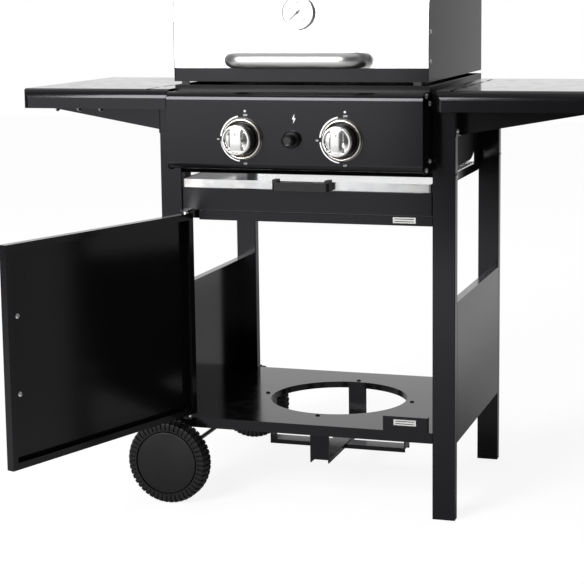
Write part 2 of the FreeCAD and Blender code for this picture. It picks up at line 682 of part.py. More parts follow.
# Control panel: one bent sheet with a cheek at each end
outline, rounds = panel_outline(0)
inner_outline, inner_rounds = panel_outline(SHEET)
panel = profile_x(outline, -panel_half, panel_half, rounds)
panel = panel.cut(profile_x(inner_outline, -panel_half, panel_half, inner_rounds))
cheek_outline = [(panel_front, panel_bottom), (panel_front + PANEL_FOOT / 2, cheek_bottom),
                 (-leg_y, cheek_bottom), (-leg_y, cheek_top), (rim_front - SLACK, cheek_top),
                 (rim_front - SLACK, panel_top), (panel_front, panel_top)]
cheek_rounds = [PANEL_FOOT_ROUND / 2, 0, 0, 0, 0, 0, PANEL_TOP_ROUND]
for sx in (-1, 1):
    x0, x1 = sorted((sx * panel_half, sx * (panel_half - SHEET)))
    panel = panel.fuse(profile_x(cheek_outline, x0, x1, cheek_rounds))
for x, radius in ((-knob_x, 2 * STEM_RADIUS), (knob_x, 2 * STEM_RADIUS), (0, IGNITER_BODY_RADIUS + SLACK)):
    panel = panel.cut(rod(V(x, panel_front - OVERRUN, knob_z), V(x, panel_inside + OVERRUN, knob_z), radius))
hose_top = panel_bottom + SHEET + OVERRUN
panel = panel.cut(rod(V(inlet_x, manifold_y, cheek_bottom), V(inlet_x, manifold_y, hose_top),
                      INLET_RADIUS + HOSE_CLEARANCE))
keep("control_panel", drilled(panel, cheek_screws + left_of(cheek_screws)).removeSplitter())

# Silver screws of the cart: control panel cheeks, legs and table brackets
cart_screws = cheek_screws + right_leg_screws + right_gusset_screws
keep("cart_screws", *[screw(p, w) for p, w in cart_screws + left_of(cart_screws)])

# Knob bezels: turned rings on the panel round each knob
bezel_in = KNOB_RADIUS + BEZEL_CLEARANCE
bezel = [(bezel_in, 0), (BEZEL_RADIUS, 0), (BEZEL_RADIUS, -BEZEL_FOOT),
         (BEZEL_RADIUS - BEZEL_SLOPE, -BEZEL_HEIGHT), (bezel_in, -BEZEL_HEIGHT)]
keep("knob_bezels", *[turned(bezel, V(sx * knob_x, panel_front, knob_z), "y") for sx in (-1, 1)])

# Valves: a body behind the panel, a nozzle into the burner and a saddle over the manifold
valve_back = panel_inside + VALVE_LENGTH
stem_back = panel_front + STEM_DEPTH
stem_front = knob_front + KNOB_CAP
valves = []
for side, sx in (("left", -1), ("right", 1)):
    x = sx * knob_x
    half = VALVE_SIZE / 2
    valve = box(x - half, x + half, panel_inside, valve_back, manifold_z, knob_z + half)
    valve = valve.fuse(rod(V(x, valve_back, burner_z), V(x, valve_back + NOZZLE_LENGTH, burner_z),
                           NOZZLE_RADIUS))
    valve = valve.cut(rod(V(x - half, manifold_y, manifold_z), V(x + half, manifold_y, manifold_z),
                          MANIFOLD_RADIUS + RUN))
    valve = valve.cut(rod(V(x, panel_inside, knob_z), V(x, stem_back + KNOB_TRAVEL + SLACK, knob_z),
                          STEM_RADIUS + RUN))
    valves.append(valve.removeSplitter())
    keep(f"{side}_valve_stem", rod(V(x, stem_back, knob_z), V(x, stem_front, knob_z), STEM_RADIUS))
keep("gas_valves", *valves)

# Gas manifold: a capped tube under the valves with a collared inlet that points down
manifold = rod(V(-manifold_half, manifold_y, manifold_z), V(manifold_half, manifold_y, manifold_z),
               MANIFOLD_RADIUS)
inlet_root = V(inlet_x, manifold_y, manifold_z)
collar_low = manifold_z - MANIFOLD_RADIUS - INLET_COLLAR_HEIGHT
manifold = manifold.fuse(rod(inlet_root, V(inlet_x, manifold_y, collar_low), INLET_COLLAR_RADIUS))
manifold = manifold.fuse(rod(inlet_root, V(inlet_x, manifold_y, collar_low - INLET_LENGTH), INLET_RADIUS))
keep("gas_manifold", manifold.removeSplitter())

# Knobs: a round skirt whose front is a bowl inside a ring, with a grip bar across it, bored for the stem
for side, sx in (("left", -1), ("right", 1)):
    x = sx * knob_x
    ring_front = knob_front + KNOB_GRIP_PROUD
    bowl = ring_front + KNOB_BOWL
    ring_in = KNOB_RADIUS - KNOB_RING
    skirt = [(0, knob_back), (KNOB_RADIUS - KNOB_EDGE, knob_back), (KNOB_RADIUS, knob_back - KNOB_ROUND),
             (KNOB_RADIUS, ring_front + KNOB_EDGE), (KNOB_RADIUS - KNOB_EDGE, ring_front),
             (ring_in, ring_front), (ring_in - KNOB_EDGE, bowl), (0, bowl)]
    knob = turned(skirt, V(x, 0, knob_z), "y")
    half = KNOB_GRIP_WIDTH / 2
    bar = box(x - half, x + half, knob_front, bowl + KNOB_EDGE, knob_z - ring_in, knob_z + ring_in)
    front_edges = [e for e in bar.Edges if abs(e.CenterOfMass.y - knob_front) < 0.01]
    long_edges = [e for e in front_edges if abs(e.CenterOfMass.z - knob_z) < 0.01]
    bar = bar.makeFillet(KNOB_GRIP_FILLET, long_edges)
    knob = knob.fuse(bar)
    knob = knob.cut(rod(V(x, knob_back, knob_z), V(x, stem_front - SLACK, knob_z), STEM_RADIUS + RUN))
    keep(f"{side}_knob", knob.removeSplitter())

# Piezo igniter: a collared body through the panel and its push button
body_end = panel_inside + IGNITER_BODY_LENGTH
collar_front = panel_front - IGNITER_COLLAR_HEIGHT
button_bore = BUTTON_RADIUS + RUN
button_back = collar_front + BUTTON_REACH / 2
igniter = [(0, body_end), (IGNITER_BODY_RADIUS, body_end), (IGNITER_BODY_RADIUS, panel_front),
           (IGNITER_RADIUS, panel_front), (IGNITER_RADIUS, collar_front + IGNITER_ROUND),
           (IGNITER_RADIUS - IGNITER_ROUND, collar_front),
           (button_bore, collar_front), (button_bore, button_back + BUTTON_TRAVEL + SLACK),
           (0, button_back + BUTTON_TRAVEL + SLACK)]
keep("igniter_body", turned(igniter, V(0, 0, knob_z), "y"))
button_front = panel_front - BUTTON_REACH
button = [(0, button_back), (BUTTON_RADIUS, button_back), (BUTTON_RADIUS, button_front + BUTTON_ROUND),
          (BUTTON_RADIUS - BUTTON_ROUND, button_front),
          (BUTTON_RADIUS - 2 * BUTTON_ROUND, button_front + BUTTON_DISH), (0, button_front + BUTTON_DISH)]
keep("igniter_button", turned(button, V(0, 0, knob_z), "y"))


def firebox_outline(inset):
    """Side outline (y, z) of the firebox below its rim; the floor sweeps up to the back wall."""
    points = rectangle(firebox_front + inset, firebox_back - inset, firebox_bottom + inset, rim_bottom)
    return points, [FIREBOX_FRONT_ROUND - inset, FIREBOX_BACK_ROUND - inset, 0, 0]


# Firebox wrapper: a front sheet with a lip, burner holes and an electrode hole, and a back sheet.
# Between them the floor is open, so that fat drops on the tray.
outline, rounds = firebox_outline(0)
wrapper = profile_x(outline, -bay, bay, rounds)
outline, rounds = firebox_outline(SHEET)
chamber = profile_x(outline, -bay, bay, rounds)
wrapper = wrapper.cut(chamber)
firebox_in_front = firebox_front + SHEET
firebox_in_back = firebox_back - SHEET
wrapper = wrapper.cut(box(-bay, bay, firebox_front + FIREBOX_LIP, firebox_back + OVERRUN,
                          firebox_bottom - OVERRUN, firebox_bottom + BACK_SHEET_RISE))
electrode_x = -knob_x + BURNER_RADIUS + 3 * ELECTRODE_RADIUS
electrode_z = burner_z + ELECTRODE_RADIUS
front_holes = [(-knob_x, burner_z, BURNER_RADIUS), (knob_x, burner_z, BURNER_RADIUS),
               (electrode_x, electrode_z, ELECTRODE_RADIUS)]
for x, z, radius in front_holes:
    wrapper = wrapper.cut(rod(V(x, firebox_front - OVERRUN, z), V(x, firebox_in_front + OVERRUN, z),
                              radius + RUN))

# Firebox rim: a flange with an upstand along the front and the back
inside_x = bay - SHEET
front_rim = box(-inside_x, inside_x, rim_front, firebox_in_front, rim_bottom, rim_bottom + SHEET)
front_rim = front_rim.fuse(box(-inside_x, inside_x, rim_front, rim_front + SHEET, rim_bottom, rim_top))
back_rim = box(-inside_x, inside_x, firebox_in_back, rim_back, rim_bottom, rim_bottom + SHEET)
back_rim = back_rim.fuse(box(-inside_x, inside_x, rim_back - SHEET, rim_back, rim_bottom, rim_top))
firebox = [*wrapper.Solids, front_rim.removeSplitter(), back_rim.removeSplitter()]

# Firebox ledges: the upper pair carries the grates, the lower pair the flame covers
for ledge_top in (grate_z, cover_z):
    for y0 in (firebox_in_front, firebox_in_back - LEDGE_WIDTH):
        firebox.append(box(-inside_x, inside_x, y0, y0 + LEDGE_WIDTH, ledge_top - SHEET, ledge_top))

# Firebox end plates, the burner rests on the back wall, and the hangers that stand on the side rails
burner_tail = firebox_in_back - BURNER_TAIL_GAP
rest_top = burner_z - BURNER_RADIUS - SLACK
hanger_top = side_rail_top + HANGER_HEIGHT
for sx in (-1, 1):
    x0, x1 = sorted((sx * inside_x, sx * bay))
    end_plate = chamber.common(box(x0, x1, firebox_front, firebox_back, firebox_bottom, rim_bottom))
    end_plate = end_plate.fuse(box(x0, x1, rim_front, rim_back, rim_bottom, rim_top))
    firebox.append(end_plate.removeSplitter())
    x = sx * knob_x
    rest = box(x - BURNER_REST_WIDTH / 2, x + BURNER_REST_WIDTH / 2, burner_tail - BURNER_REST_LAP,
               firebox_back, rest_top - SHEET, rest_top)
    firebox.append(rest.common(chamber))
    plate0, plate1 = sorted((sx * bay, sx * (bay + SHEET)))
    for y0, y1 in ((-panel_y, firebox_front + HANGER_LENGTH), (firebox_back - HANGER_LENGTH, firebox_back)):
        firebox.append(box(plate0, plate1, y0, y1, side_rail_top, hanger_top))
keep("firebox", *firebox)

# Burners: closed tubes from the valves to a rest on the back wall, with ports along both sides
burners = []
burner_mouth = valve_back + NOZZLE_LENGTH / 2
for sx in (-1, 1):
    x = sx * knob_x
    burner = rod(V(x, burner_mouth, burner_z), V(x, burner_tail, burner_z), BURNER_RADIUS)
    burner = burner.cut(rod(V(x, burner_mouth, burner_z), V(x, burner_tail - SHEET, burner_z),
                            BURNER_RADIUS - SHEET))
    pitch = (burner_tail - firebox_in_front) / (BURNER_PORTS + 1)
    for i in range(BURNER_PORTS):
        y = firebox_in_front + pitch * (i + 1)
        port_end = x + 2 * BURNER_RADIUS
        burner = burner.cut(rod(V(x - 2 * BURNER_RADIUS, y, burner_z), V(port_end, y, burner_z),
                                BURNER_PORT_RADIUS))
    burners.append(burner)
keep("burners", *burners)

# Flame covers: bent sheets over the burners, resting on the lower ledges
covers = []
for sx in (-1, 1):
    x = sx * knob_x
    half = FLAME_COVER_WIDTH / 2
    roof = [(x - half, cover_z), (x - half + 2 * SHEET, cover_z), (x, cover_z + FLAME_COVER_RISE - SHEET),
            (x + half - 2 * SHEET, cover_z), (x + half, cover_z), (x, cover_z + FLAME_COVER_RISE)]
    covers.append(profile_y(roof, firebox_in_front + SLACK, firebox_in_back - SLACK))
keep("flame_covers", *covers)

# Cooking grates: a pair of cast bar grids on the upper ledges
grates = []
grate_y0 = firebox_in_front + SLACK
grate_y1 = firebox_in_back - SLACK
for sx in (-1, 1):
    x0, x1 = sorted((sx * SLACK, sx * (bay - SHEET - SLACK)))
    grate = box(x0, x1, grate_y0, grate_y1, grate_z, grate_z + GRATE_THICKNESS)
    opening = (x1 - x0 - 2 * GRATE_FRAME - (GRATE_BARS - 1) * GRATE_BAR) / GRATE_BARS
    slots = []
    for i in range(GRATE_BARS):
        left = x0 + GRATE_FRAME + i * (opening + GRATE_BAR)
        slots.append(box(left, left + opening, grate_y0 + GRATE_FRAME, grate_y1 - GRATE_FRAME,
                         grate_z, grate_z + GRATE_THICKNESS))
    grates.append(grate.cut(Part.makeCompound(slots)))
keep("cooking_grates", *grates)

# Igniter electrode: a ceramic rod beside the left burner
electrode_back = firebox_front - ELECTRODE_TAIL
electrode_tip = electrode_back + ELECTRODE_LENGTH
keep("igniter_electrode", rod(V(electrode_x, electrode_back, electrode_z),
                              V(electrode_x, electrode_tip, electrode_z), ELECTRODE_RADIUS))


def hood_outline(inset):
    """Side outline (y, z) of the hood, drawn in by inset; the bottom stays open."""
    return ([(hood_front + inset, hood_bottom), (hood_back - inset, hood_bottom),
             (hood_back - inset, hood_top - inset), (hood_front + inset, hood_top - inset)],
            [0, 0, HOOD_BACK_ROUND - inset, HOOD_FRONT_ROUND - inset])


def hood_layer(outside, inside, x0, x1):
    """A bent sheet between two insets of the hood outline."""
    points, radii = hood_outline(outside)
    solid = profile_x(points, x0, x1, radii)
    points, radii = hood_outline(inside)
    return solid.cut(profile_x(points, x0, x1, radii))


# Hood: bright skin over front and top, dark strip and back lapped inside it, flanged end caps
hood_half = bay
skin_x = hood_half - SHEET
far = 2 * leg_x
skin_end = hood_back - HOOD_BACK_ROUND
skin = hood_layer(0, SHEET, -skin_x, skin_x).common(box(-far, far, -far, skin_end, strip_top, 2 * hood_top))
under_layer = hood_layer(SHEET, 2 * SHEET, -skin_x, skin_x)
strip = under_layer.common(box(-far, far, -far, 0, 0, strip_top + HOOD_SEAM_LAP))
back_sheet = under_layer.common(box(-far, far, skin_end - HOOD_SEAM_LAP, far, 0, 2 * hood_top))
handle_z = hood_bottom + HOOD_HANDLE_HEIGHT
gauge_z = hood_bottom + GAUGE_HEIGHT
stem_hole = rod(V(0, hood_front - OVERRUN, gauge_z), V(0, hood_front + 4 * SHEET, gauge_z),
                GAUGE_STEM_RADIUS + SLACK)
keep("hood_skin", skin.cut(stem_hole))
keep("hood_strip", strip)
keep("hood_back", back_sheet)
points, radii = hood_outline(0)
cap_plate = profile_x(points, skin_x, hood_half, radii)
cap_flange = hood_layer(2 * SHEET, 3 * SHEET, skin_x - PANEL_FLANGE, skin_x)
hood_rivets = [(V(hood_half, hood_front + HOOD_RIVET_EDGE, strip_top + rise), (1, 0, 0))
               for rise in HOOD_RIVET_RISE]
hood_rivets.append((V(hood_half, skin_end, hood_top - HOOD_RIVET_EDGE), (1, 0, 0)))
hood_cap = drilled(cap_plate.fuse(cap_flange), hood_rivets).removeSplitter()
keep("hood_end_caps", hood_cap, mirrored(hood_cap))
keep("hood_rivets", *[screw(p, w) for p, w in hood_rivets + left_of(hood_rivets)])

# Hood handle: one bent tube with both ends on the skin
span = HOOD_HANDLE_SPAN / 2
reach_y = hood_front - HOOD_HANDLE_REACH
bend = HOOD_HANDLE_BEND
turn = bend * (1 - math.sqrt(0.5))
path = Part.Wire([
    Part.LineSegment(V(-span, hood_front, handle_z), V(-span, reach_y + bend, handle_z)).toShape(),
    Part.Arc(V(-span, reach_y + bend, handle_z), V(-span + turn, reach_y + turn, handle_z),
             V(-span + bend, reach_y, handle_z)).toShape(),
    Part.LineSegment(V(-span + bend, reach_y, handle_z), V(span - bend, reach_y, handle_z)).toShape(),
    Part.Arc(V(span - bend, reach_y, handle_z), V(span - turn, reach_y + turn, handle_z),
             V(span, reach_y + bend, handle_z)).toShape(),
    Part.LineSegment(V(span, reach_y + bend, handle_z), V(span, hood_front, handle_z)).toShape()])
pipes = []
for radius in (HOOD_HANDLE_RADIUS, HOOD_HANDLE_RADIUS - TUBE_WALL):
    ring = Part.Wire(Part.makeCircle(radius, V(-span, hood_front, handle_z), V(0, 1, 0)))
    pipes.append(path.makePipeShell([ring], True, True))
keep("hood_handle", pipes[0].cut(pipes[1]))

# Hood gauge: a dial on the front with its probe through the skin
dial = [(0, -GAUGE_DEPTH), (GAUGE_RADIUS - GAUGE_ROUND, -GAUGE_DEPTH),
        (GAUGE_RADIUS, -GAUGE_DEPTH + GAUGE_ROUND), (GAUGE_RADIUS, 0), (0, 0)]
gauge_seat = V(0, hood_front, gauge_z)
gauge = turned(dial, gauge_seat, "y")
gauge = gauge.fuse(rod(gauge_seat, V(0, hood_front + GAUGE_STEM_LENGTH, gauge_z), GAUGE_STEM_RADIUS))
keep("hood_gauge", gauge.removeSplitter())

# Bumpers: pads under the hood's front corners that meet the rim
bumpers = []
bumper_x = skin_x - BUMPER_INSET
strip_in = hood_front + SHEET
for sx in (-1, 1):
    x0, x1 = sorted((sx * bumper_x, sx * (bumper_x - BUMPER_WIDTH)))
    foot = box(x0, x1, strip_in, strip_in + 2 * SHEET, rim_top + SLACK, hood_bottom)
    bumpers.append(foot)
keep("hood_bumpers", *bumpers)

# Hood hinges: butt hinges behind the rim; the outer knuckles turn with the hood
fixed_leaves = []
hood_leaves = []
pins = []
third = HINGE_WIDTH / 3
for sx in (-1, 1):
    x = sx * HINGE_SPREAD / 2
    x0 = x - third / 2 + SLACK
    x1 = x + third / 2 - SLACK
    fixed = box(x0, x1, rim_back, rim_back + 2 * SHEET, rim_bottom, hinge_z)
    fixed = fixed.fuse(rod(V(x0, hinge_y, hinge_z), V(x1, hinge_y, hinge_z), HINGE_KNUCKLE))
    fixed = fixed.cut(rod(V(x - third, hinge_y, hinge_z), V(x + third, hinge_y, hinge_z), HINGE_PIN + RUN))
    fixed_leaves.append(fixed.removeSplitter())
    for end in (-1, 1):
        x0, x1 = sorted((x + end * third / 2, x + end * HINGE_WIDTH / 2))
        leaf = box(x0, x1, hood_back, hood_back + 2 * SHEET, hood_bottom, hood_bottom + HINGE_LEAF)
        leaf = leaf.fuse(rod(V(x0, hinge_y, hinge_z), V(x1, hinge_y, hinge_z), HINGE_KNUCKLE))
        leaf = leaf.cut(box(x0, x1, rim_front, rim_back + SLACK, hinge_z - HINGE_KNUCKLE, hood_bottom))
        leaf = leaf.cut(rod(V(x0, hinge_y, hinge_z), V(x1, hinge_y, hinge_z), HINGE_PIN + RUN))
        hood_leaves.append(leaf.removeSplitter())
    half = HINGE_WIDTH / 2
    pins.append(rod(V(x - half, hinge_y, hinge_z), V(x + half, hinge_y, hinge_z), HINGE_PIN))
keep("hood_hinge_fixed_leaves", *fixed_leaves)
keep("hood_hinge_leaves", *hood_leaves)
keep("hood_hinge_pins", *pins)


def table_solid(inset, inner, inner_round):
    """The right table's outer or inner shape: rolled at its front and back edges, rounded in plan."""
    high = TABLE_HEIGHT - inset
    x0, x1 = inner + inset, table_outer - inset
    y0, y1 = table_front + inset, table_back - inset
    roll = TABLE_ROUND - inset
    solid = profile_x(rectangle(y0, y1, leg_top, high), x0, x1, [0, 0, roll, roll])
    near, far_off = inner_round - inset, TABLE_CORNER - inset
    return solid.common(profile_z(rectangle(x0, x1, y0, y1), leg_top, high, [near, far_off, far_off, near]))


# Side tables: pressed trays turned down at the edges, slotted over the legs.
# The left one ends at the control panel, the right one stands a little off it.
slot_x = right_table_inner + SLOT_INSET
slot_mid = (table_front + table_back) / 2 - SLOT_SHIFT
slots = []
for i in range(SLOT_COUNT):
    y = slot_mid + (i - (SLOT_COUNT - 1) / 2) * SLOT_PITCH
    slots.append(profile_z(rectangle(slot_x, slot_x + SLOT_WIDTH, y - SLOT_LENGTH / 2, y + SLOT_LENGTH / 2),
                           TABLE_HEIGHT - 2 * SHEET, TABLE_HEIGHT, [(SLOT_WIDTH - EDGE_EASE) / 2] * 4))
tables = []
for inner, inner_round in ((right_table_inner, TABLE_CORNER), (left_table_inner, LEFT_TABLE_CORNER)):
    table = table_solid(0, inner, inner_round).cut(table_solid(SHEET, inner, inner_round))
    tables.append(table.cut(Part.makeCompound(slots)))
keep("right_table", tables[0])
keep("left_table", mirrored(tables[1]))


def gusset(y, flange_y0, flange_y1, flange_top):
    """A triangular table bracket with a flange on the leg and one under the table."""
    tip = table_outer - GUSSET_TIP_GAP
    high = TABLE_HEIGHT - SHEET
    corners = [(leg_x, gusset_bottom), (tip, gusset_bottom + GUSSET_TIP_RISE), (tip, high), (leg_x, high)]
    plate = profile_y(corners, y - SHEET / 2, y + SHEET / 2)
    plate = plate.fuse(box(leg_x, leg_x + SHEET, flange_y0, flange_y1, gusset_bottom, flange_top))
    return plate.fuse(box(leg_x, tip, y - SHEET / 2, y + GUSSET_TOP_FLANGE, high - SHEET, high))


# Table brackets: the front pair on the legs, the rear pair on the table rails
front_y = -leg_y + GUSSET_FLANGE
front_gusset = gusset(front_y, -leg_y, front_y, leg_top)
rear_gusset = gusset(gusset_rear, gusset_rear, gusset_rear + GUSSET_FLANGE, table_rail_top)
front_gusset = drilled(front_gusset, right_gusset_screws).removeSplitter()
rear_gusset = drilled(rear_gusset, right_gusset_screws).removeSplitter()
keep("table_brackets", front_gusset, rear_gusset, mirrored(front_gusset), mirrored(rear_gusset))

# Tool hooks: a strip inside the left table's front edge with round wire hooks
hook_y = table_front + SHEET
hook_mid = -(left_table_inner + table_outer) / 2 - HOOK_SHIFT
strip_half = HOOK_PITCH * HOOK_COUNT / 2
hook_high = leg_top + HOOK_BAR
hooks = box(hook_mid - strip_half, hook_mid + strip_half, hook_y, hook_y + SHEET,
            leg_top + HOOK_BAR_LIFT, hook_high)
for i in range(HOOK_COUNT):
    x = hook_mid + (i - (HOOK_COUNT - 1) / 2) * HOOK_PITCH
    back = hook_y + SHEET + HOOK_RADIUS - HOOK_WELD
    low = hook_high - HOOK_DROP + HOOK_BEND
    top = V(x, back, hook_high - HOOK_RADIUS)
    bottom = V(x, back, low)
    far_side = V(x, back + 2 * HOOK_BEND, low)
    wire = Part.Wire([Part.LineSegment(top, bottom).toShape(),
                      Part.Arc(bottom, V(x, back + HOOK_BEND, low - HOOK_BEND), far_side).toShape(),
                      Part.LineSegment(far_side, V(x, back + 2 * HOOK_BEND, low + HOOK_BEND)).toShape()])
    ring = Part.Wire(Part.makeCircle(HOOK_RADIUS, top, V(0, 0, 1)))
    hooks = hooks.fuse(wire.makePipeShell([ring], True, True))
keep("tool_hooks", hooks.removeSplitter())


def on_door(shape):
    """Swing a piece that is drawn on the closed door to the open door."""
    shape = shape.copy()
    shape.rotate(V(pin_x, pin_y, 0), AXIS["z"], -DOOR_OPEN)
    return shape


# Door: a folded pan with lips, drawn closed and then swung open on its pins
door_half = door_width / 2
door_outer_y = door_inner_y - DOOR_DEPTH
door = box(-door_half, door_half, door_outer_y, door_inner_y, door_bottom, door_top)
door = door.cut(box(-door_half + SHEET, door_half - SHEET, door_outer_y + SHEET, door_inner_y - SHEET,
                    door_bottom + SHEET, door_top - SHEET))
lip = SHEET + DOOR_LIP
door = door.cut(box(-door_half + lip, door_half - lip, door_inner_y - SHEET, door_inner_y,
                    door_bottom + lip, door_top - lip))
door = door.cut(rod(V(pin_x, pin_y, door_bottom), V(pin_x, pin_y, door_top), PIN_RADIUS + RUN))
door_handle_x = door_half - DOOR_HANDLE_INSET
door_screws = []
for sz in (-1, 1):
    z = door_mid + sz * DOOR_HANDLE_SPAN / 2
    door_screws.append((V(door_handle_x, door_outer_y + SHEET, z), (0, 1, 0)))
door = drilled(door, door_screws)
keep("door", on_door(door))

# Door handle: a bar on two posts outside the door, screwed from inside
bar_y = door_outer_y - DOOR_HANDLE_REACH + DOOR_HANDLE_RADIUS
bar_half = DOOR_HANDLE_SPAN / 2 + DOOR_HANDLE_OVERHANG
bar = rod(V(door_handle_x, bar_y, door_mid - bar_half), V(door_handle_x, bar_y, door_mid + bar_half),
          DOOR_HANDLE_RADIUS)
bar = bar.makeFillet(DOOR_HANDLE_EASE, [e for e in bar.Edges if len(e.Vertexes) == 1])
for point, way in door_screws:
    post = rod(V(door_handle_x, door_outer_y, point.z), V(door_handle_x, bar_y, point.z), DOOR_HANDLE_POST)
    bar = bar.fuse(post)
bar = drilled(bar, door_screws)
keep("door_handle", on_door(bar.removeSplitter()))
keep("door_screws", *[on_door(screw(p, w)) for p, w in door_screws])

# Door hinges: a plate under the apron, one on the shelf, each with an upright collared pin
bracket_front = pin_y - PIN_COLLAR
bracket_x1 = pin_x + PIN_COLLAR
bracket_back = -leg_in_y - SHEET - SLACK
top_low = apron_bottom - PIN_PLATE
low_high = shelf_z + PIN_PLATE
top_bracket = box(-bay, bracket_x1, bracket_front, bracket_back, top_low, apron_bottom)
low_bracket = box(-bay, bracket_x1, bracket_front, bracket_back, shelf_z, low_high)
pin_hole = rod(V(pin_x, pin_y, shelf_z), V(pin_x, pin_y, apron_bottom), PIN_RADIUS + RUN)
keep("door_hinge_brackets", top_bracket.cut(pin_hole), low_bracket.cut(pin_hole))
top_pin = rod(V(pin_x, pin_y, door_top - PIN_GRIP), V(pin_x, pin_y, apron_bottom), PIN_RADIUS)
collar = rod(V(pin_x, pin_y, door_top + SLACK), V(pin_x, pin_y, top_low), PIN_COLLAR)
low_pin = rod(V(pin_x, pin_y, shelf_z), V(pin_x, pin_y, door_bottom + PIN_GRIP), PIN_RADIUS)
washer = rod(V(pin_x, pin_y, door_bottom - PIN_WASHER), V(pin_x, pin_y, door_bottom - SLACK), PIN_COLLAR)
keep("door_hinge_pins", top_pin.fuse(collar).removeSplitter(), low_pin.fuse(washer).removeSplitter())

# Magnet catches: one on the front rail, one on a bracket that stands on the shelf
catch_x1 = bay - CATCH_INSET
catch_x0 = catch_x1 - CATCH_WIDTH
catch_front = door_inner_y + SLACK
top_catch_z = rail_bottom + CATCH_RISE
low_catch_z = shelf_z + CATCH_LIFT
foot_x1 = bay - CATCH_BRACKET_INSET
foot_x0 = foot_x1 - CATCH_BRACKET_WIDTH
foot_back = -leg_y + CATCH_BRACKET_DEPTH
foot_top = shelf_z + CATCH_BRACKET_HEIGHT
bracket = box(foot_x0, foot_x1, -leg_y, foot_back, shelf_z, foot_top)
bracket = bracket.cut(box(foot_x0 + SHEET, foot_x1 - SHEET, -leg_y + SHEET, foot_back,
                          shelf_z + SHEET, foot_top - SHEET))
keep("catch_bracket", bracket)
catches = [box(catch_x0, catch_x1, catch_front, -leg_y, z, z + CATCH_HEIGHT)
           for z in (top_catch_z, low_catch_z)]
keep("magnet_catches", *catches)

# Written out, each node in its own file
os.makedirs("parts", exist_ok=True)
for name, shape in nodes.items():
    placed = shape.copy()
    placed.translate(V(0, CENTRE_Y, 0))
    placed.exportStep(f"parts/{name}.step")
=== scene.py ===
import bmesh
import bpy
import numpy as np
from mathutils import Matrix, Vector


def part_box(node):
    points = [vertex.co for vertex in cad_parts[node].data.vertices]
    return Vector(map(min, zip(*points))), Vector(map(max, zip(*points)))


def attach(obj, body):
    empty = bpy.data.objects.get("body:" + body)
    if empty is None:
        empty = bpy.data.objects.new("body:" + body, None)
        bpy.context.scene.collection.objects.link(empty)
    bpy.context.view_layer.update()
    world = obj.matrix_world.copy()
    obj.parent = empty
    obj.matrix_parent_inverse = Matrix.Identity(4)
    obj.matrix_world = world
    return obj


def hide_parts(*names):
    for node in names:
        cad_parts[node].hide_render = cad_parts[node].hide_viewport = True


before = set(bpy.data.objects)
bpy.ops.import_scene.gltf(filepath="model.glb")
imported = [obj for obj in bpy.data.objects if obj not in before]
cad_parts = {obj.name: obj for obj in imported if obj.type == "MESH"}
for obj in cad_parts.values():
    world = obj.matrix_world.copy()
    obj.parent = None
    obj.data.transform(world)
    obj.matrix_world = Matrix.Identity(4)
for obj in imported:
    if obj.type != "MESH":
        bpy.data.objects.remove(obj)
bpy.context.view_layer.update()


# Cart frame: four rectangular tube legs, rails, side panels and the shelf with its bottle straps.
# Cut and bent steel sheet, screwed and welded together, in a baked satin black powder coat.
# The coat has a faint orange peel, soft clouds of gloss and a little dust where it lies flat.
class Wire:
    """A socket in a node tree. Sums and products of wires and numbers add Math nodes."""

    def __init__(self, tree, socket):
        self.tree = tree
        self.socket = socket

    def node(self, kind, settings, sockets, out=0):
        """Adds a node of this type: first its settings, then its sockets' values or links."""
        made = self.tree.nodes.new("ShaderNode" + kind)
        for key, value in settings.items():
            setattr(made, key, value)
        for key, value in sockets.items():
            if isinstance(value, Wire):
                self.tree.links.new(value.socket, made.inputs[key])
            else:
                made.inputs[key].default_value = value
        return Wire(self.tree, made.outputs[out])

    def maths(self, operation, first, second):
        """A Math node on two wires or numbers."""
        return self.node("Math", {"operation": operation}, {0: first, 1: second})

    def __add__(self, other):
        return self.maths("ADD", self, other)

    def __radd__(self, other):
        return self.maths("ADD", other, self)

    def __sub__(self, other):
        return self.maths("SUBTRACT", self, other)

    def __rsub__(self, other):
        return self.maths("SUBTRACT", other, self)

    def __mul__(self, other):
        return self.maths("MULTIPLY", self, other)

    def __rmul__(self, other):
        return self.maths("MULTIPLY", other, self)

    def __pow__(self, power):
        return self.maths("POWER", self, power)

    def __abs__(self):
        return self.maths("ABSOLUTE", self, 0.0)

    def rise(self, low, high):
        """Goes smoothly from 0 at the low value to 1 at the high one."""
        return self.node("MapRange", {"interpolation_type": "SMOOTHSTEP"},
                         {"Value": self, "From Min": low, "From Max": high})

    def axis(self, index):
        """One of a vector's three numbers."""
        return self.node("SeparateXYZ", {}, {"Vector": self}, index)

    def facing_up(self):
        """For the wire of a place: 1 where the surface looks up, -1 where it looks down."""
        return Wire(self.tree, self.socket.node.outputs["Normal"]).axis(2)

    def stretched(self, x, y, z):
        """A place with its three directions scaled, for marks that run along one of them."""
        return self.node("Mapping", {}, {"Vector": self, "Scale": (x, y, z)})

    def noise(self, scale, detail):
        """Noise with this many lumps to the metre."""
        return self.node("TexNoise", {}, {"Vector": self, "Scale": scale, "Detail": detail})

    def blend(self, first, second):
        """Goes from the first colour at 0 to the second at 1."""
        first = first if isinstance(first, Wire) else (*first, 1.0)
        second = second if isinstance(second, Wire) else (*second, 1.0)
        return self.node("Mix", {"data_type": "RGBA"}, {"Factor": self, 6: first, 7: second}, 2)

    def bump(self, strength, height):
        """A normal that follows this wire as a relief of that height in metres."""
        return self.node("Bump", {}, {"Strength": strength, "Distance": height, "Height": self})

    def ray(self, kind):
        """1 for light rays of this kind and 0 for all others."""
        return self.node("LightPath", {}, {}, kind)


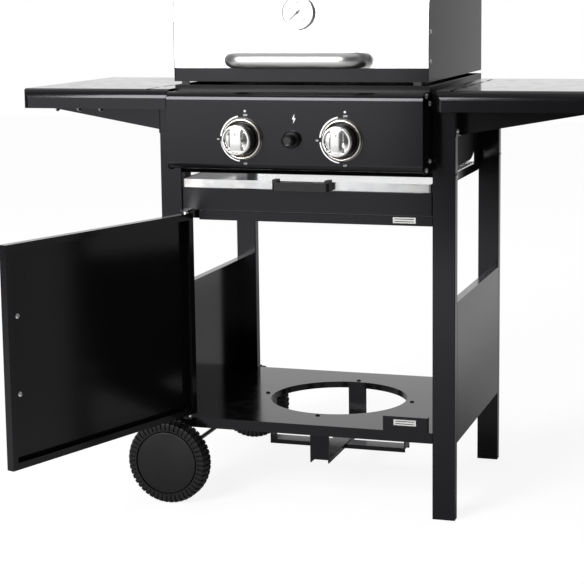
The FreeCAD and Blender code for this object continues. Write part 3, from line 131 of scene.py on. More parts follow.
def start_finish(name, even):
    """A new material: its shader with the even values set, and the wire of the place on the piece."""
    finish = bpy.data.materials.new(name)
    finish.use_nodes = True
    shader = finish.node_tree.nodes["Principled BSDF"]
    for key, value in even.items():
        shader.inputs[key].default_value = value
    place = finish.node_tree.nodes.new("ShaderNodeTexCoord").outputs["Object"]
    return finish, shader, Wire(finish.node_tree, place)


def feed(shader, wires):
    """Joins each wire to the shader's socket of that name."""
    for key, wire in wires.items():
        wire.tree.links.new(wire.socket, shader.inputs[key])


def dress(finish, *nodes):
    """Gives CAD nodes their finish."""
    for name in nodes:
        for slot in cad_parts[name].material_slots:
            slot.material = finish


cool_gloss = (0.94, 0.94, 1.0, 1.0)
dust_colour = (0.3, 0.29, 0.27)
satin_black, shader, place = start_finish("satin_black_coat", {"IOR": 1.38, "Specular Tint": cool_gloss})
cloud = place.noise(6.0, 4.0)
peel = place.noise(520.0, 2.0)
dust = place.facing_up().rise(0.75, 1.0) * place.noise(38.0, 6.0).rise(0.4, 0.8)
speck = 0.35 * cloud + 0.65 * place.noise(2200.0, 1.0)
coat_shade = speck.blend((0.0025, 0.0025, 0.0029), (0.005, 0.005, 0.0056))
feed(shader, {"Base Color": (0.03 * dust).blend(coat_shade, dust_colour),
              "Roughness": 0.12 + 0.04 * cloud + 0.05 * dust,
              "Normal": peel.bump(0.1, 0.00025)})
dress(satin_black, "front_left_leg", "front_right_leg", "rear_left_leg", "rear_right_leg", "side_panels",
      "side_rails", "table_rails", "front_rail", "front_apron", "rear_rail", "tray_runners", "bottom_shelf",
      "bottle_straps", "catch_bracket")
cart_middle = (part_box("front_left_leg")[0].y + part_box("rear_left_leg")[1].y) / 2


# Foot caps: moulded plugs pushed over the two right legs.
# Black polypropylene with a fine spark-eroded grain.
black_plastic, shader, place = start_finish("moulded_black_plastic", {"IOR": 1.36})
grain = place.noise(1500.0, 3.0)
plastic_shade = place.noise(60.0, 3.0).blend((0.002, 0.002, 0.0023), (0.0045, 0.0045, 0.005))
feed(shader, {"Base Color": plastic_shade,
              "Roughness": 0.24 + 0.12 * grain,
              "Normal": grain.bump(0.18, 0.0001)})
dress(black_plastic, "foot_caps")


# Wheels: one blow-moulded shell each, with a tread of two rows of blocks half a block apart.
# Dark grey polyethylene with a dull grain. A domed cap of the same stuff closes the outer side.
def skin(name, points, round_u=False, round_v=False, crease=0.6):
    """Grids of points [patch, u, v, xyz] made a mesh with a quad between each four neighbours.
    A way that goes round joins its last line to its first, and a line that is one point closes a pole."""
    patches, along_u, along_v, _ = points.shape
    lines_u = np.arange(along_u - (not round_u))
    lines_v = np.arange(along_v - (not round_v))
    u, v = np.meshgrid(lines_u, lines_v, indexing="ij")
    next_u = (u + 1) % along_u
    next_v = (v + 1) % along_v
    corners = [u * along_v + v, next_u * along_v + v, next_u * along_v + next_v, u * along_v + next_v]
    first_point = np.arange(patches) * along_u * along_v
    quads = np.stack(corners, -1).reshape(1, -1, 4) + first_point.reshape(-1, 1, 1)
    mesh = bpy.data.meshes.new(name)
    mesh.from_pydata(points.reshape(-1, 3).tolist(), [], quads.reshape(-1, 4).tolist())
    shell = bmesh.new()
    shell.from_mesh(mesh)
    bmesh.ops.remove_doubles(shell, verts=shell.verts, dist=2e-6)
    bmesh.ops.recalc_face_normals(shell, faces=shell.faces)
    shell.to_mesh(mesh)
    shell.free()
    mesh.shade_smooth()
    mesh.set_sharp_from_angle(angle=crease)
    return mesh


def fit(mesh, finish, body, slot, *stands_for):
    """Puts a mesh on its body as a piece of the same name, in place of the nodes it stands for."""
    piece = bpy.data.objects.new(mesh.name, mesh)
    mesh.materials.append(finish)
    bpy.context.scene.collection.objects.link(piece)
    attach(piece, body)
    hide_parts(*stands_for)


def turned_y(section, centre, forward, columns):
    """A section of (radius, along) rows in mm carried round an axis along Y: x and z are the radius times
    the cosine and sine of the angle, y is the along value, counted forward or back from the centre."""
    angle = np.linspace(0, 2 * np.pi, columns, endpoint=False)
    radius, along = np.array(section).T[:, :, None] / 1000
    ring = [radius * np.cos(angle), forward * along + 0 * angle, radius * np.sin(angle)]
    return (np.stack(ring, -1) + np.array(centre))[None]


def axis_xz(node):
    """Where the axis of a round CAD node that lies along Y stands: the middle of its box in x and z."""
    low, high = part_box(node)
    return (low.x + high.x) / 2, (low.z + high.z) / 2


wheel_grey, shader, place = start_finish("moulded_wheel_grey", {"IOR": 1.38})
grain = place.noise(900.0, 4.0)
wheel_shade = place.noise(45.0, 4.0).blend((0.0025, 0.0025, 0.0028), (0.0055, 0.0055, 0.006))
feed(shader, {"Base Color": wheel_shade,
              "Roughness": 0.36 + 0.14 * grain,
              "Normal": grain.bump(0.2, 0.00012)})
wheel_width = 36
block_count = 48
block_columns = 10
block_depth = 2.4
# The section's rows in mm: radius and along. A tread row adds the two parts of its outward way, and the
# grooves between the blocks sink against that way.
hub_rows = [(4.05, -5.2), (14, -5.2), (14, 15.5), (53.5, 15.5), (53.5, 1.2), (58.5, 1.2), (58.5, 0),
            (60.6, 0)]
tread_rows = [(61.8, 0, 0, -1), (66, 0, 0, -1), (70.8, 0, 0, -1), (72.2, 0.5, 0.6, -0.8),
              (74.5, 4.6, 0.87, -0.49), (76.6, 8.6, 0.95, -0.3), (77, 9.6, 1, 0), (77, 14.4, 1, 0),
              (76.5, 15.1, 1, 0)]
groove_rows = [(73.2, 15.7), (73.2, 20.3)]
face_rows = [(60.6, 36), (58.5, 36), (58.5, 31), (53.5, 31), (53.5, 20.5), (14, 20.5), (14, 26),
             (4.05, 26)]


def smooth_rows(rows):
    """Rows that no groove sinks: no outward way, no share of the depth and no shift round the wheel."""
    return [(*row, 0, 0, 0, 0) for row in rows]


inner_tread = [(*row, 1, 0) for row in tread_rows]
outer_tread = [(radius, wheel_width - along, out_radius, -out_along, 1, 0.5)
               for radius, along, out_radius, out_along in reversed(tread_rows)]
rows = smooth_rows(hub_rows) + inner_tread + smooth_rows(groove_rows) + outer_tread + smooth_rows(face_rows)
row_radius, row_along, out_radius, out_along, share, shift = np.array(rows).T[:, :, None]
column = np.arange(block_count * block_columns)
groove = np.interp((column / block_columns + shift) % 1, [0, 0.3, 0.4, 0.6, 0.7, 1], [0, 0, 1, 1, 0, 0])
sunk = block_depth * share * groove
angle = 2 * np.pi * column / column.size
radius = (row_radius - sunk * out_radius) / 1000
along = (row_along - sunk * out_along) / 1000
cap_radius = 54
cap_crown = 3
cap_rows = [(r, wheel_width + cap_crown * (1 - (r / cap_radius) ** 2))
            for r in np.linspace(0, cap_radius, 19)]
cap_rows += [(55, 35.9), (55.9, 35.5), (56.5, 34.9), (56.7, 34), (56.7, 31.1), (53, 31.1), (20, 32.2),
             (0, 32.2)]
axle_x, axle_z = axis_xz("axle_and_caps")
wheel_from_middle = 0.2165
for end, forward in (("front", -1), ("rear", 1)):
    foot = cart_middle + forward * wheel_from_middle
    ring = [axle_x + radius * np.cos(angle), foot + forward * along, axle_z + radius * np.sin(angle)]
    tyre = np.stack(ring, -1)[None]
    fit(skin(f"{end}_tyre", tyre, round_u=True, round_v=True), wheel_grey,
        f"{end}_wheel_set", "wheel_plastic", f"{end}_wheel")
    cap = turned_y(cap_rows, (axle_x, foot, axle_z), forward, 96)
    fit(skin(f"{end}_wheel_cap", cap, round_v=True), wheel_grey,
        f"{end}_wheel_set", "wheel_plastic", f"{end}_hub_cap")


# Axle: a thin drawn steel rod across the cart with pressed caps at its ends.
# Painted black with the cart, so it takes the same coat.
dress(satin_black, "axle_and_caps")


# Screws: pan heads with a pressed cross, in the panel's cheeks, the legs, the table gussets and the shelf.
# Zinc plated, bright and a little uneven. The four that hold the straps to the shelf are coated black.
screw_zinc, shader, place = start_finish("zinc_plate", {"Metallic": 1.0})
film = place.noise(260.0, 4.0)
feed(shader, {"Base Color": film.blend((0.8, 0.8, 0.79), (0.95, 0.95, 0.94)),
              "Roughness": 0.25 + 0.2 * film,
              "Normal": place.noise(1800.0, 2.0).bump(0.12, 0.00008)})
head_radius = 4.2
crown_radius = 4.7
crown_height = 2.4
cross_half_width = 0.48
cross_reach = 2.1
cross_depth = 1.5
shank_radius = 2.0
shank_length = 7.0


def pan_screws(name, seats, ways):
    """Heads and shanks as surfaces of radius and angle: the height over the seat is a dome less the depth of
    a cross, which at each point is the deeper of two tapered slots. Each is turned to its own way out."""
    ways = np.array(ways, float)
    upright = np.where(abs(ways[:, 2:]) > 0.9, [[0.0, 1.0, 0.0]], [[0.0, 0.0, 1.0]])
    side = np.cross(upright, ways)
    upright = np.cross(ways, side)
    top_reach = np.linspace(0, 2.6, 14)
    edge_reach = [3.1, 3.6, 4.0, head_radius, head_radius, shank_radius, shank_radius, 0.0]
    reach = np.concatenate([top_reach, edge_reach])[:, None]
    turn = np.linspace(0, 2 * np.pi, 64, endpoint=False)
    across = reach * np.cos(turn)
    over = reach * np.sin(turn)
    slots = [np.clip((cross_half_width - abs(p)) / 0.14, 0, 1) * np.clip((cross_reach - abs(q)) / 0.5, 0, 1)
             for p, q in ((across, over), (over, across))]
    height = crown_height * np.sqrt(1 - (reach / crown_radius) ** 2) - cross_depth * np.maximum(*slots)
    height[-4:] = [[0.0], [0.0], [-shank_length], [-shank_length]]
    parts = [across[..., None] * side[:, None, None], over[..., None] * upright[:, None, None],
             height[..., None] * ways[:, None, None]]
    return skin(name, np.array(seats)[:, None, None] + sum(parts) / 1000, round_v=True)


# Seats on the right side as (y from the cart's middle, z), face by face. The left side mirrors them.
gusset_sheet = 0.0012
cheek_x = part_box("control_panel")[1].x
leg_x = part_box("front_right_leg")[1].x
cheek_seats = [(-0.252, 0.744), (-0.226, 0.730), (-0.226, 0.633), (-0.252, 0.6195)]
leg_seats = [(-0.201, 0.606), (0.201, 0.606)]
gusset_seats = [(-0.201, 0.683), (0.1315, 0.696)]
faces = ((cheek_x, cheek_seats), (leg_x, leg_seats), (leg_x + gusset_sheet, gusset_seats))
right_seats = np.array([(x, y + cart_middle, z) for x, seats in faces for y, z in seats])
seats = np.concatenate([right_seats, right_seats * (-1, 1, 1)])
ways = np.repeat([[1.0, 0, 0], [-1.0, 0, 0]], len(right_seats), axis=0)
fit(pan_screws("cart_pan_screws", seats, ways), screw_zinc, "cart", "screw_steel", "cart_screws")
strap_reach = 0.1423
shelf_top = 0.155
strap_ends = [(strap_reach, 0), (-strap_reach, 0), (0, strap_reach), (0, -strap_reach)]
seats = [(x, y + cart_middle, shelf_top) for x, y in strap_ends]
fit(pan_screws("shelf_pan_screws", seats, [(0, 0, 1)] * 4), satin_black,
    "cart", "screw_steel", "strap_screws")


# Drip tray: a shallow pan pressed from galvanised sheet that slides out forwards on two runners.
# Bright zinc with spangles, streaks from the roll and a warm film of old fat on its floor; faces that look
# down get painted shade.
# The hooks and the hood's hinge leaves are cut from the same sheet.
fat_colour = (0.6, 0.53, 0.42)
painted_shade_colour = (0.03, 0.03, 0.03)
galvanised, shader, place = start_finish("galvanised_sheet", {"Metallic": 1.0})
spangle = place.node("TexVoronoi", {}, {"Vector": place, "Scale": 95.0, "Randomness": 1.0}, 1).axis(0)
streak = place.stretched(3.0, 60.0, 60.0).noise(9.0, 5.0)
film = place.noise(14.0, 5.0).rise(0.45, 0.75)
zinc = (0.5 * spangle + 0.5 * streak).blend((0.58, 0.585, 0.595), (0.7, 0.705, 0.715))
# Painted shade: every face of the tray, hooks and hinge leaves that looks down is made near black.
painted_underside_shade = 1.0 - place.facing_up().rise(-0.9, -0.5)
feed(shader, {"Base Color": painted_underside_shade.blend((0.3 * film).blend(zinc, fat_colour), painted_shade_colour),
              "Roughness": 0.1 + 0.09 * streak + 0.04 * spangle,
              "Normal": streak.bump(0.05, 0.0003)})
dress(galvanised, "drip_tray", "tool_hooks", "hood_hinge_fixed_leaves", "hood_hinge_leaves")
dress(black_plastic, "drip_tray_handle")
dress(screw_zinc, "hood_hinge_pins", "door_hinge_pins")


# Control panel: a bent sheet box with round edges between two cheeks, powder coated with the cart.
# The dials' dots, arcs, short words and the spark sign are printed on it in thick white ink.
dress(satin_black, "control_panel")
white_ink, shader, place = start_finish("white_ink", {"IOR": 1.5})
wash = place.noise(700.0, 3.0)
feed(shader, {"Base Color": wash.blend((0.72, 0.72, 0.72), (0.86, 0.86, 0.86)),
              "Roughness": 0.45 + 0.15 * wash})
panel_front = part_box("control_panel")[0].y
ink = 0.00012


def strips(name, edges, front, thickness):
    """Flat strips on a face that looks forwards: each has a left and a right edge of (x, z) points, and its
    section is the oblong between them, from the ink's thickness under the face to the same over it."""
    edges = np.array(edges)
    left = edges[:, 0]
    right = edges[:, 1]
    lines = []
    for line, depth in ((left, -thickness), (right, -thickness), (right, thickness), (left, thickness)):
        lines.append(np.stack([line[..., 0], front + depth + 0 * line[..., 0], line[..., 1]], -1))
    body = np.stack(lines, -2)
    ends = body.mean(-2, keepdims=True) + 0 * body
    grid = np.concatenate([ends[:, :1], body, ends[:, -1:]], 1)
    return skin(name, grid, round_v=True, crease=0.5)


def words(name, text, height, centre, front, thickness):
    """Plain upright letters, filled and a little raised, with their middle at (x, z) on a face that looks
    forwards. A letter's own x, y and z become the place's x, z and the way out of the face."""
    curve = bpy.data.curves.new(name, "FONT")
    curve.body = text
    curve.size = height * 1.4
    curve.align_x = "CENTER"
    curve.align_y = "CENTER"
    curve.extrude = thickness
    draft = bpy.data.objects.new(name, curve)
    mesh = bpy.data.meshes.new_from_object(draft)
    mesh.name = name
    bpy.data.objects.remove(draft)
    flat = np.empty(len(mesh.vertices) * 3, np.float32)
    mesh.vertices.foreach_get("co", flat)
    flat = flat.reshape(-1, 3)
    placed = np.stack([flat[:, 0] + centre[0], front - flat[:, 2], flat[:, 1] + centre[1]], -1)
    mesh.vertices.foreach_set("co", placed.ravel())
    mesh.update()
    return mesh


# An arc has its first and last angle and its width, a word its place from the knob's axis.
dial_radius = 0.0389
dial_arcs = ((101, 174, 0.0024), (186, 262, 0.0019))
dot_radius = 0.0019
dot_place = (0.0052, 0.0474)
word_height = 0.0032
dial_words = (("off", "OFF", (0.006, 0.0403)), ("high", "HI", (-0.044, -0.0014)),
              ("low", "LO", (0.005, -0.0429)))
sweep = np.linspace(0, 1, 41)
for side in ("left", "right"):
    knob_axis = np.array(axis_xz(f"{side}_knob"))
    marks = []
    for start, stop, width in dial_arcs:
        angle = np.radians(start + (stop - start) * sweep)
        spoke = np.stack([np.cos(angle), np.sin(angle)], -1)
        marks.append([knob_axis + (dial_radius + half) * spoke for half in (-width / 2, width / 2)])
    turn = np.pi * (0.02 + 0.96 * sweep)
    half = dot_radius * np.stack([np.sin(turn), -np.cos(turn)], -1)
    marks.append([knob_axis + dot_place + half * (-1, 1), knob_axis + dot_place + half])
    fit(strips(f"{side}_dial_arcs", marks, panel_front, ink), white_ink, "cart", "white_plastic")
    for mark, text, word_place in dial_words:
        word = words(f"{side}_dial_{mark}", text, word_height, knob_axis + word_place, panel_front, ink)
        fit(word, white_ink, "cart", "white_plastic")
spark_size = 0.0077
spark_place = (0.0041, 0.7062)
spark_left = np.array([(0.13, 1), (-0.45, -0.1), (-0.02, -0.1), (-0.17, -1)]) * spark_size + spark_place
spark_right = np.array([(0.17, 1), (0.03, 0.15), (0.45, 0.15), (-0.13, -1)]) * spark_size + spark_place
fit(strips("spark_sign", [[spark_left, spark_right]], panel_front, ink), white_ink, "cart", "white_plastic")


# Knobs: a round skirt behind a ring, with a dome inside the ring and a crowned grip bar across it.
# Moulded black, with the ring, dome and bar plated in bright chrome; a small dark mark shows the setting.
skirt_colour = (0.008, 0.008, 0.0085)
plating_depth = 0.0045
knob_x, knob_z = axis_xz("left_knob")
ring_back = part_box("left_knob")[0].y + plating_depth
knob_chrome, shader, place = start_finish("plated_knob", {"IOR": 1.5})
film = place.noise(70.0, 4.0)
from_axis = ((abs(place.axis(0)) - abs(knob_x)) ** 2.0 + (place.axis(2) - knob_z) ** 2.0) ** 0.5
bare = from_axis.rise(0.0254, 0.0257) * place.axis(1).rise(ring_back, ring_back + 0.0004)
feed(shader, {"Base Color": bare.blend(film.blend((0.66, 0.655, 0.65), (0.74, 0.735, 0.73)), skirt_colour),
              "Metallic": 1 - bare,
              "Roughness": 0.08 + 0.05 * film + 0.2 * bare})
ink_grey, shader, place = start_finish("dark_ink", {"IOR": 1.5})
wash = place.noise(900.0, 3.0)
feed(shader, {"Base Color": wash.blend((0.05, 0.045, 0.05), (0.12, 0.1, 0.11)),
              "Roughness": 0.4 + 0.2 * wash})


def ease(value):
    """Goes smoothly from 0 to 1 as the value does."""
    value = np.clip(value, 0, 1)
    return value * value * (3 - 2 * value)


# Height of the front in mm over the skirt's back, at each radius and angle: a bead for the ring, a dome
# inside it, and a crowned bar over both.
skirt_radius = 26
dome_radius = 22
ring_height = 31.5
dome_height = 28.6
bar_height = 32.5
bar_half_width = 11
round_columns = 192
skirt_rows = [(skirt_radius, 27), (skirt_radius, 4), (24.5, 0), (0, 0)]
reach = np.concatenate([np.linspace(0, 21, 43), np.linspace(21.4, skirt_radius, 14)])[:, None]
turn = np.linspace(0, 2 * np.pi, round_columns, endpoint=False)
across = reach * np.cos(turn)
over = reach * np.sin(turn)
bead = ring_height - 1.5 * np.clip((reach - 24) / 2, 0, 1) ** 2
dome = dome_height - 2.4 * (reach / dome_radius) ** 2
dome = dome + (bead - dome) * ease((reach - 19.8) / 2.4)
bar = bar_height - 0.5 * (across / bar_half_width) ** 2 - 0.8 * (over / dome_radius) ** 4
bar_share = ease((12.8 - abs(across)) / 3.0) * ease((22.8 - reach) / 1.6)
height = dome + np.maximum(bar - dome, 0) * bar_share
mark_half_width = 0.0007
mark_front = 0.03245
mark_film = 0.0002
mark_run = np.linspace(0.0085, 0.0125, 5)
for side in ("left", "right"):
    knob_x, knob_z = axis_xz(f"{side}_knob")
    knob_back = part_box(f"{side}_knob")[1].y
    front = np.stack([knob_x + across / 1000, knob_back - height / 1000, knob_z + over / 1000], -1)[None]
    skirt = turned_y(skirt_rows, (knob_x, knob_back, knob_z), -1, round_columns)
    shell = skin(f"{side}_knob_shell", np.concatenate([front, skirt], 1), round_v=True, crease=0.5)
    fit(shell, knob_chrome, f"{side}_knob_body", "chrome", f"{side}_knob")
    edges = [np.stack([knob_x + half + 0 * mark_run, knob_z + mark_run], -1)
             for half in (-mark_half_width, mark_half_width)]
    mark = strips(f"{side}_knob_mark", [edges], knob_back - mark_front, mark_film)
    fit(mark, ink_grey, f"{side}_knob_body", "black_plastic")


# Bezels: a rounded ring round each knob with a thin lip inside it, drawn from sheet and clipped to the panel.
# Chromed, softly polished and a little warm, with the faint unevenness of thin plate.
bezel_chrome, shader, place = start_finish("bezel_chrome", {"Metallic": 1.0})
film = place.noise(55.0, 4.0)
feed(shader, {"Base Color": film.blend((0.8, 0.765, 0.7), (0.88, 0.845, 0.78)),
              "Roughness": 0.2 + 0.08 * film,
              "Normal": place.noise(120.0, 2.0).bump(0.06, 0.0004)})


def rings_round_knobs(name, rows):
    """The two closed rings that a section of (radius, along) rows in mm makes round the knobs' axes."""
    axes = [axis_xz("left_knob"), axis_xz("right_knob")]
    rings = [turned_y(rows, (x, panel_front, z), -1, 144) for x, z in axes]
    return skin(name, np.concatenate(rings), round_u=True, round_v=True)


bow = np.linspace(0, np.pi, 25)
bow_rows = list(zip(32.9 + 2.9 * np.cos(bow), 0.9 + 7.1 * np.sin(bow) ** 0.8))
bezel_rows = [(36, 0), (36, 0.8), *bow_rows, (29.8, 0)]
lip_rows = [(27.1, 0), (27.1, 1.5), (27.5, 1.9), (27.9, 1.5), (27.9, 0)]
fit(rings_round_knobs("bezel_rings", bezel_rows), bezel_chrome, "cart", "chrome", "knob_bezels")
fit(rings_round_knobs("bezel_lips", lip_rows), bezel_chrome, "cart", "chrome")


# Igniter: a moulded collar through the panel with a spring button, and an electrode beside the left burner.
# Black plastic outside; the electrode is ceramic, glazed off-white.
dress(black_plastic, "igniter_body", "igniter_button")
ceramic, shader, place = start_finish("glazed_ceramic", {"IOR": 1.55})
soot = place.noise(90.0, 5.0)
feed(shader, {"Base Color": soot.blend((0.5, 0.47, 0.42), (0.8, 0.78, 0.73)),
              "Roughness": 0.18 + 0.2 * soot})
dress(ceramic, "igniter_electrode")


# Gas train: two brass valves on a steel manifold tube with a collared inlet, and their stems.
# Machined brass, dulled in patches, and plain painted tube.
brass, shader, place = start_finish("machined_brass", {"Metallic": 1.0})
tarnish = place.noise(80.0, 5.0)
feed(shader, {"Base Color": tarnish.blend((0.66, 0.47, 0.2), (0.8, 0.62, 0.3)),
              "Roughness": 0.24 + 0.22 * tarnish,
              "Normal": place.stretched(1.0, 40.0, 1.0).noise(60.0, 2.0).bump(0.1, 0.0001)})
dress(brass, "gas_valves", "left_valve_stem", "right_valve_stem")
dress(satin_black, "gas_manifold")


# Firebox: a bent wrapper with end plates, a rim and ledges, welded and hung on the side rails.
# High-heat black enamel, duller than the cart's coat and patchy from the heat. The rim is smoother.
rim_foot = 0.746
heat_black, shader, place = start_finish("heat_black_enamel", {"IOR": 1.25})
bloom = place.noise(11.0, 5.0)
rim_part = place.axis(2).rise(rim_foot, rim_foot + 0.002)
feed(shader, {"Base Color": bloom.blend((0.0012, 0.0012, 0.0013), (0.003, 0.0029, 0.0028)),
              "Roughness": 0.38 + 0.12 * bloom - 0.24 * rim_part,
              "Normal": place.noise(650.0, 3.0).bump(0.12, 0.00025)})
dress(heat_black, "firebox")


# Burners and flame covers: pierced steel tubes under folded roofs.
# Stainless sheet, blued and browned by the flames.
brown_steel = (0.33, 0.24, 0.16)
blue_steel = (0.16, 0.19, 0.3)
burner_steel, shader, place = start_finish("heat_tinted_steel", {"Metallic": 1.0})
tint = place.noise(16.0, 4.0)
browned = tint.rise(0.4, 0.7).blend((0.5, 0.47, 0.44), brown_steel)
feed(shader, {"Base Color": (tint.rise(0.62, 0.8) * 0.7).blend(browned, blue_steel),
              "Roughness": 0.28 + 0.2 * tint,
              "Normal": place.stretched(30.0, 1.5, 30.0).noise(20.0, 3.0).bump(0.1, 0.0002)})
dress(burner_steel, "burners", "flame_covers")


# Cooking grates: two open castings of bars that lift out.
# Cast iron, sand-rough and seasoned dark.
cast_iron, shader, place = start_finish("seasoned_cast_iron", {"IOR": 1.5})
sand = place.noise(420.0, 5.0)
feed(shader, {"Base Color": place.noise(30.0, 4.0).blend((0.009, 0.008, 0.0075), (0.024, 0.021, 0.019)),
              "Roughness": 0.42 + 0.25 * sand,
              "Normal": sand.bump(0.55, 0.0005)})
dress(cast_iron, "cooking_grates")


# Hood: a rolled front and top skin between two end caps, with a dark strip along its foot and a back.
# The skin is brushed stainless steel, grained from side to side; strip, caps and back are coated black.
# Zinc rivets hold it together, and it rests on rubber bumpers.
stainless, shader, place = start_finish("brushed_stainless", {"Metallic": 1.0})
brush = place.stretched(1.2, 130.0, 130.0).noise(22.0, 6.0)
smear = place.noise(5.0, 4.0)
feed(shader, {"Base Color": brush.blend((0.56, 0.558, 0.554), (0.66, 0.657, 0.652)),
              "Roughness": 0.2 + 0.13 * brush + 0.08 * smear,
              "Normal": brush.bump(0.08, 0.00012)})
dress(stainless, "hood_skin", "hood_handle", "door_handle")
dress(satin_black, "hood_strip", "hood_end_caps", "hood_back")
dress(screw_zinc, "hood_rivets")
rubber, shader, place = start_finish("soft_rubber", {"IOR": 1.5})
bloom = place.noise(300.0, 4.0)
feed(shader, {"Base Color": bloom.blend((0.008, 0.008, 0.008), (0.016, 0.016, 0.015)),
              "Roughness": 0.6 + 0.15 * bloom,
              "Normal": bloom.bump(0.2, 0.0002)})
dress(rubber, "hood_bumpers")


# Heat gauge: a spun stainless rim over a white dial with black marks, on a stem through the hood.
# The numbers are plain degrees, and the needle rests at the cold end.
white_enamel, shader, place = start_finish("white_enamel", {"IOR": 1.5})
cast = place.noise(120.0, 4.0)
feed(shader, {"Base Color": cast.blend((0.7, 0.69, 0.66), (0.78, 0.775, 0.75)),
              "Roughness": 0.25 + 0.12 * cast})
rim_depth = 0.008
dial_depth = 0.005
gauge_axis = np.array(axis_xz("hood_gauge"))
gauge_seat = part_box("hood_gauge")[0].y + rim_depth
gauge_centre = (gauge_axis[0], gauge_seat, gauge_axis[1])
dial_front = gauge_seat - dial_depth
rim_rows = [(26, 0), (30, 0), (30, 5.8), (29.7, 6.9), (29, 7.6), (28, 8), (27.1, 7.8), (26.5, 7.1), (26.2, 6),
            (26, 4)]
rim = turned_y(rim_rows, gauge_centre, -1, 128)
fit(skin("gauge_rim", rim, round_u=True, round_v=True), stainless, "hood", "stainless", "hood_gauge")
dial_rows = [(0, 5), (26, 5), (26, 0), (3, 0), (3, -50), (0, -50)]
dial = turned_y(dial_rows, gauge_centre, -1, 96)
fit(skin("gauge_dial", dial, round_v=True), white_enamel, "hood", "white_plastic")


def spoke_at(degrees):
    """The (x, z) way out from the gauge's axis at an angle."""
    return np.array([np.cos(np.radians(degrees)), np.sin(np.radians(degrees))])


cold_end = 225
tick_turn = 13.5
number_turn = 5 * tick_turn
tick_end = 0.0245
number_height = 0.0034
number_reach = (0.0155, 0.0165)
ticks = []
for step in range(21):
    spoke = spoke_at(cold_end - tick_turn * step)
    tick_start, half_width = (0.0205, 0.0004) if step % 5 == 0 else (0.022, 0.0002)
    flank = np.array([-spoke[1], spoke[0]]) * half_width
    line = gauge_axis + np.outer((tick_start, tick_end), spoke)
    ticks.append([line - flank, line + flank])
fit(strips("gauge_ticks", ticks, dial_front, ink), ink_grey, "hood", "black_plastic")
for step, degrees in enumerate((0, 100, 200, 300, 400)):
    spot = gauge_axis + number_reach * spoke_at(cold_end - number_turn * step)
    number = words(f"gauge_number_{degrees}", str(degrees), number_height, spot, dial_front, ink)
    fit(number, ink_grey, "hood", "black_plastic")
needle_angle = 222
needle_lift = 0.0008
needle_film = 0.00025
spoke = spoke_at(needle_angle)
line = gauge_axis + np.outer((-0.006, 0.0, 0.02), spoke)
flank = np.outer((0.0011, 0.0011, 0.0002), (-spoke[1], spoke[0]))
needle = strips("gauge_needle", [[line - flank, line + flank]], dial_front - needle_lift, needle_film)
fit(needle, ink_grey, "hood", "black_plastic")
boss_rows = [(0, 6.4), (1.6, 6.2), (2.4, 5.6), (2.5, 4.9), (0, 4.9)]
boss = turned_y(boss_rows, gauge_centre, -1, 40)
fit(skin("gauge_boss", boss, round_v=True), ink_grey, "hood", "black_plastic")


# Side tables: shallow trays turned over, pressed with round edges and a row of slots.
# Steel sheet in the cart's coat, screwed to the legs through the gussets.
dress(satin_black, "left_table", "right_table", "table_brackets")


# Door: a folded pan on two pin hinges with a bar handle outside, held by its two zinc handle screws.
# The cart's coat all over; the magnet catches are white mouldings with two dark steel strips each.
# The screws are placed as on the shut door, then turned with it about the hinge to where it stands open.
dress(satin_black, "door", "door_hinge_brackets")
opened = np.radians(-109.3)
hinge_place = np.array([-0.218, -0.222])
shut_place = np.array([0.196, -0.2263])
screw_height = 0.34725
screw_half_span = 0.064
door_turn = np.array([[np.cos(opened), -np.sin(opened)], [np.sin(opened), np.cos(opened)]])
seat = door_turn @ (shut_place - hinge_place) + hinge_place + (0, cart_middle)
way = door_turn @ (0, 1)
seats = [(*seat, screw_height + rise) for rise in (-screw_half_span, screw_half_span)]
fit(pan_screws("door_pan_screws", seats, [(*way, 0)] * 2), screw_zinc, "door", "screw_steel", "door_screws")
white_plastic, shader, place = start_finish("white_moulding", {"IOR": 1.48})
grain = place.noise(500.0, 3.0)
feed(shader, {"Base Color": grain.blend((0.44, 0.44, 0.43), (0.52, 0.52, 0.51)),
              "Roughness": 0.35 + 0.15 * grain,
              "Normal": grain.bump(0.15, 0.0001)})
dress(white_plastic, "magnet_catches")
catch_height = 0.010
pole_width = 0.0013
pole_inset = 0.003
pole_rises = (0.0022, 0.0066)
catch_low, catch_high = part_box("magnet_catches")
poles = []
for foot in (catch_low.z, catch_high.z - catch_height):
    for rise in pole_rises:
        pole_ends = (catch_low.x + pole_inset, catch_high.x - pole_inset)
        lower_edge = np.array([(end, foot + rise) for end in pole_ends])
        poles.append([lower_edge, lower_edge + (0, pole_width)])
fit(strips("catch_poles", poles, catch_low.y, ink), satin_black, "cart", "screw_steel")


# Floor: a pale studio sweep that the cart stands on, with painted shade making it darker in front and lighter
# behind it.
# It is not part of the cart. It looks nearly white to the lens and keeps the soft shadow under the wheels and
# legs.
# Mirrors see a brighter patch of it behind the cart's right side, where it glows as painted light.
floor_side = 9.0
floor_front = -4.6
across = np.linspace(-floor_side, floor_side, 3)
deep = np.linspace(floor_front, floor_side, 3)
floor_grid = np.stack([*np.meshgrid(across, deep, indexing="ij"), np.zeros((3, 3))], -1)[None]
floor = bpy.data.objects.new("studio_floor", skin("studio_floor", floor_grid))
bpy.context.scene.collection.objects.link(floor)
white_light = (1.0, 1.0, 1.0, 1.0)
floor_glow = 1.25
pale, shader, place = start_finish("pale_floor", {"IOR": 1.4})
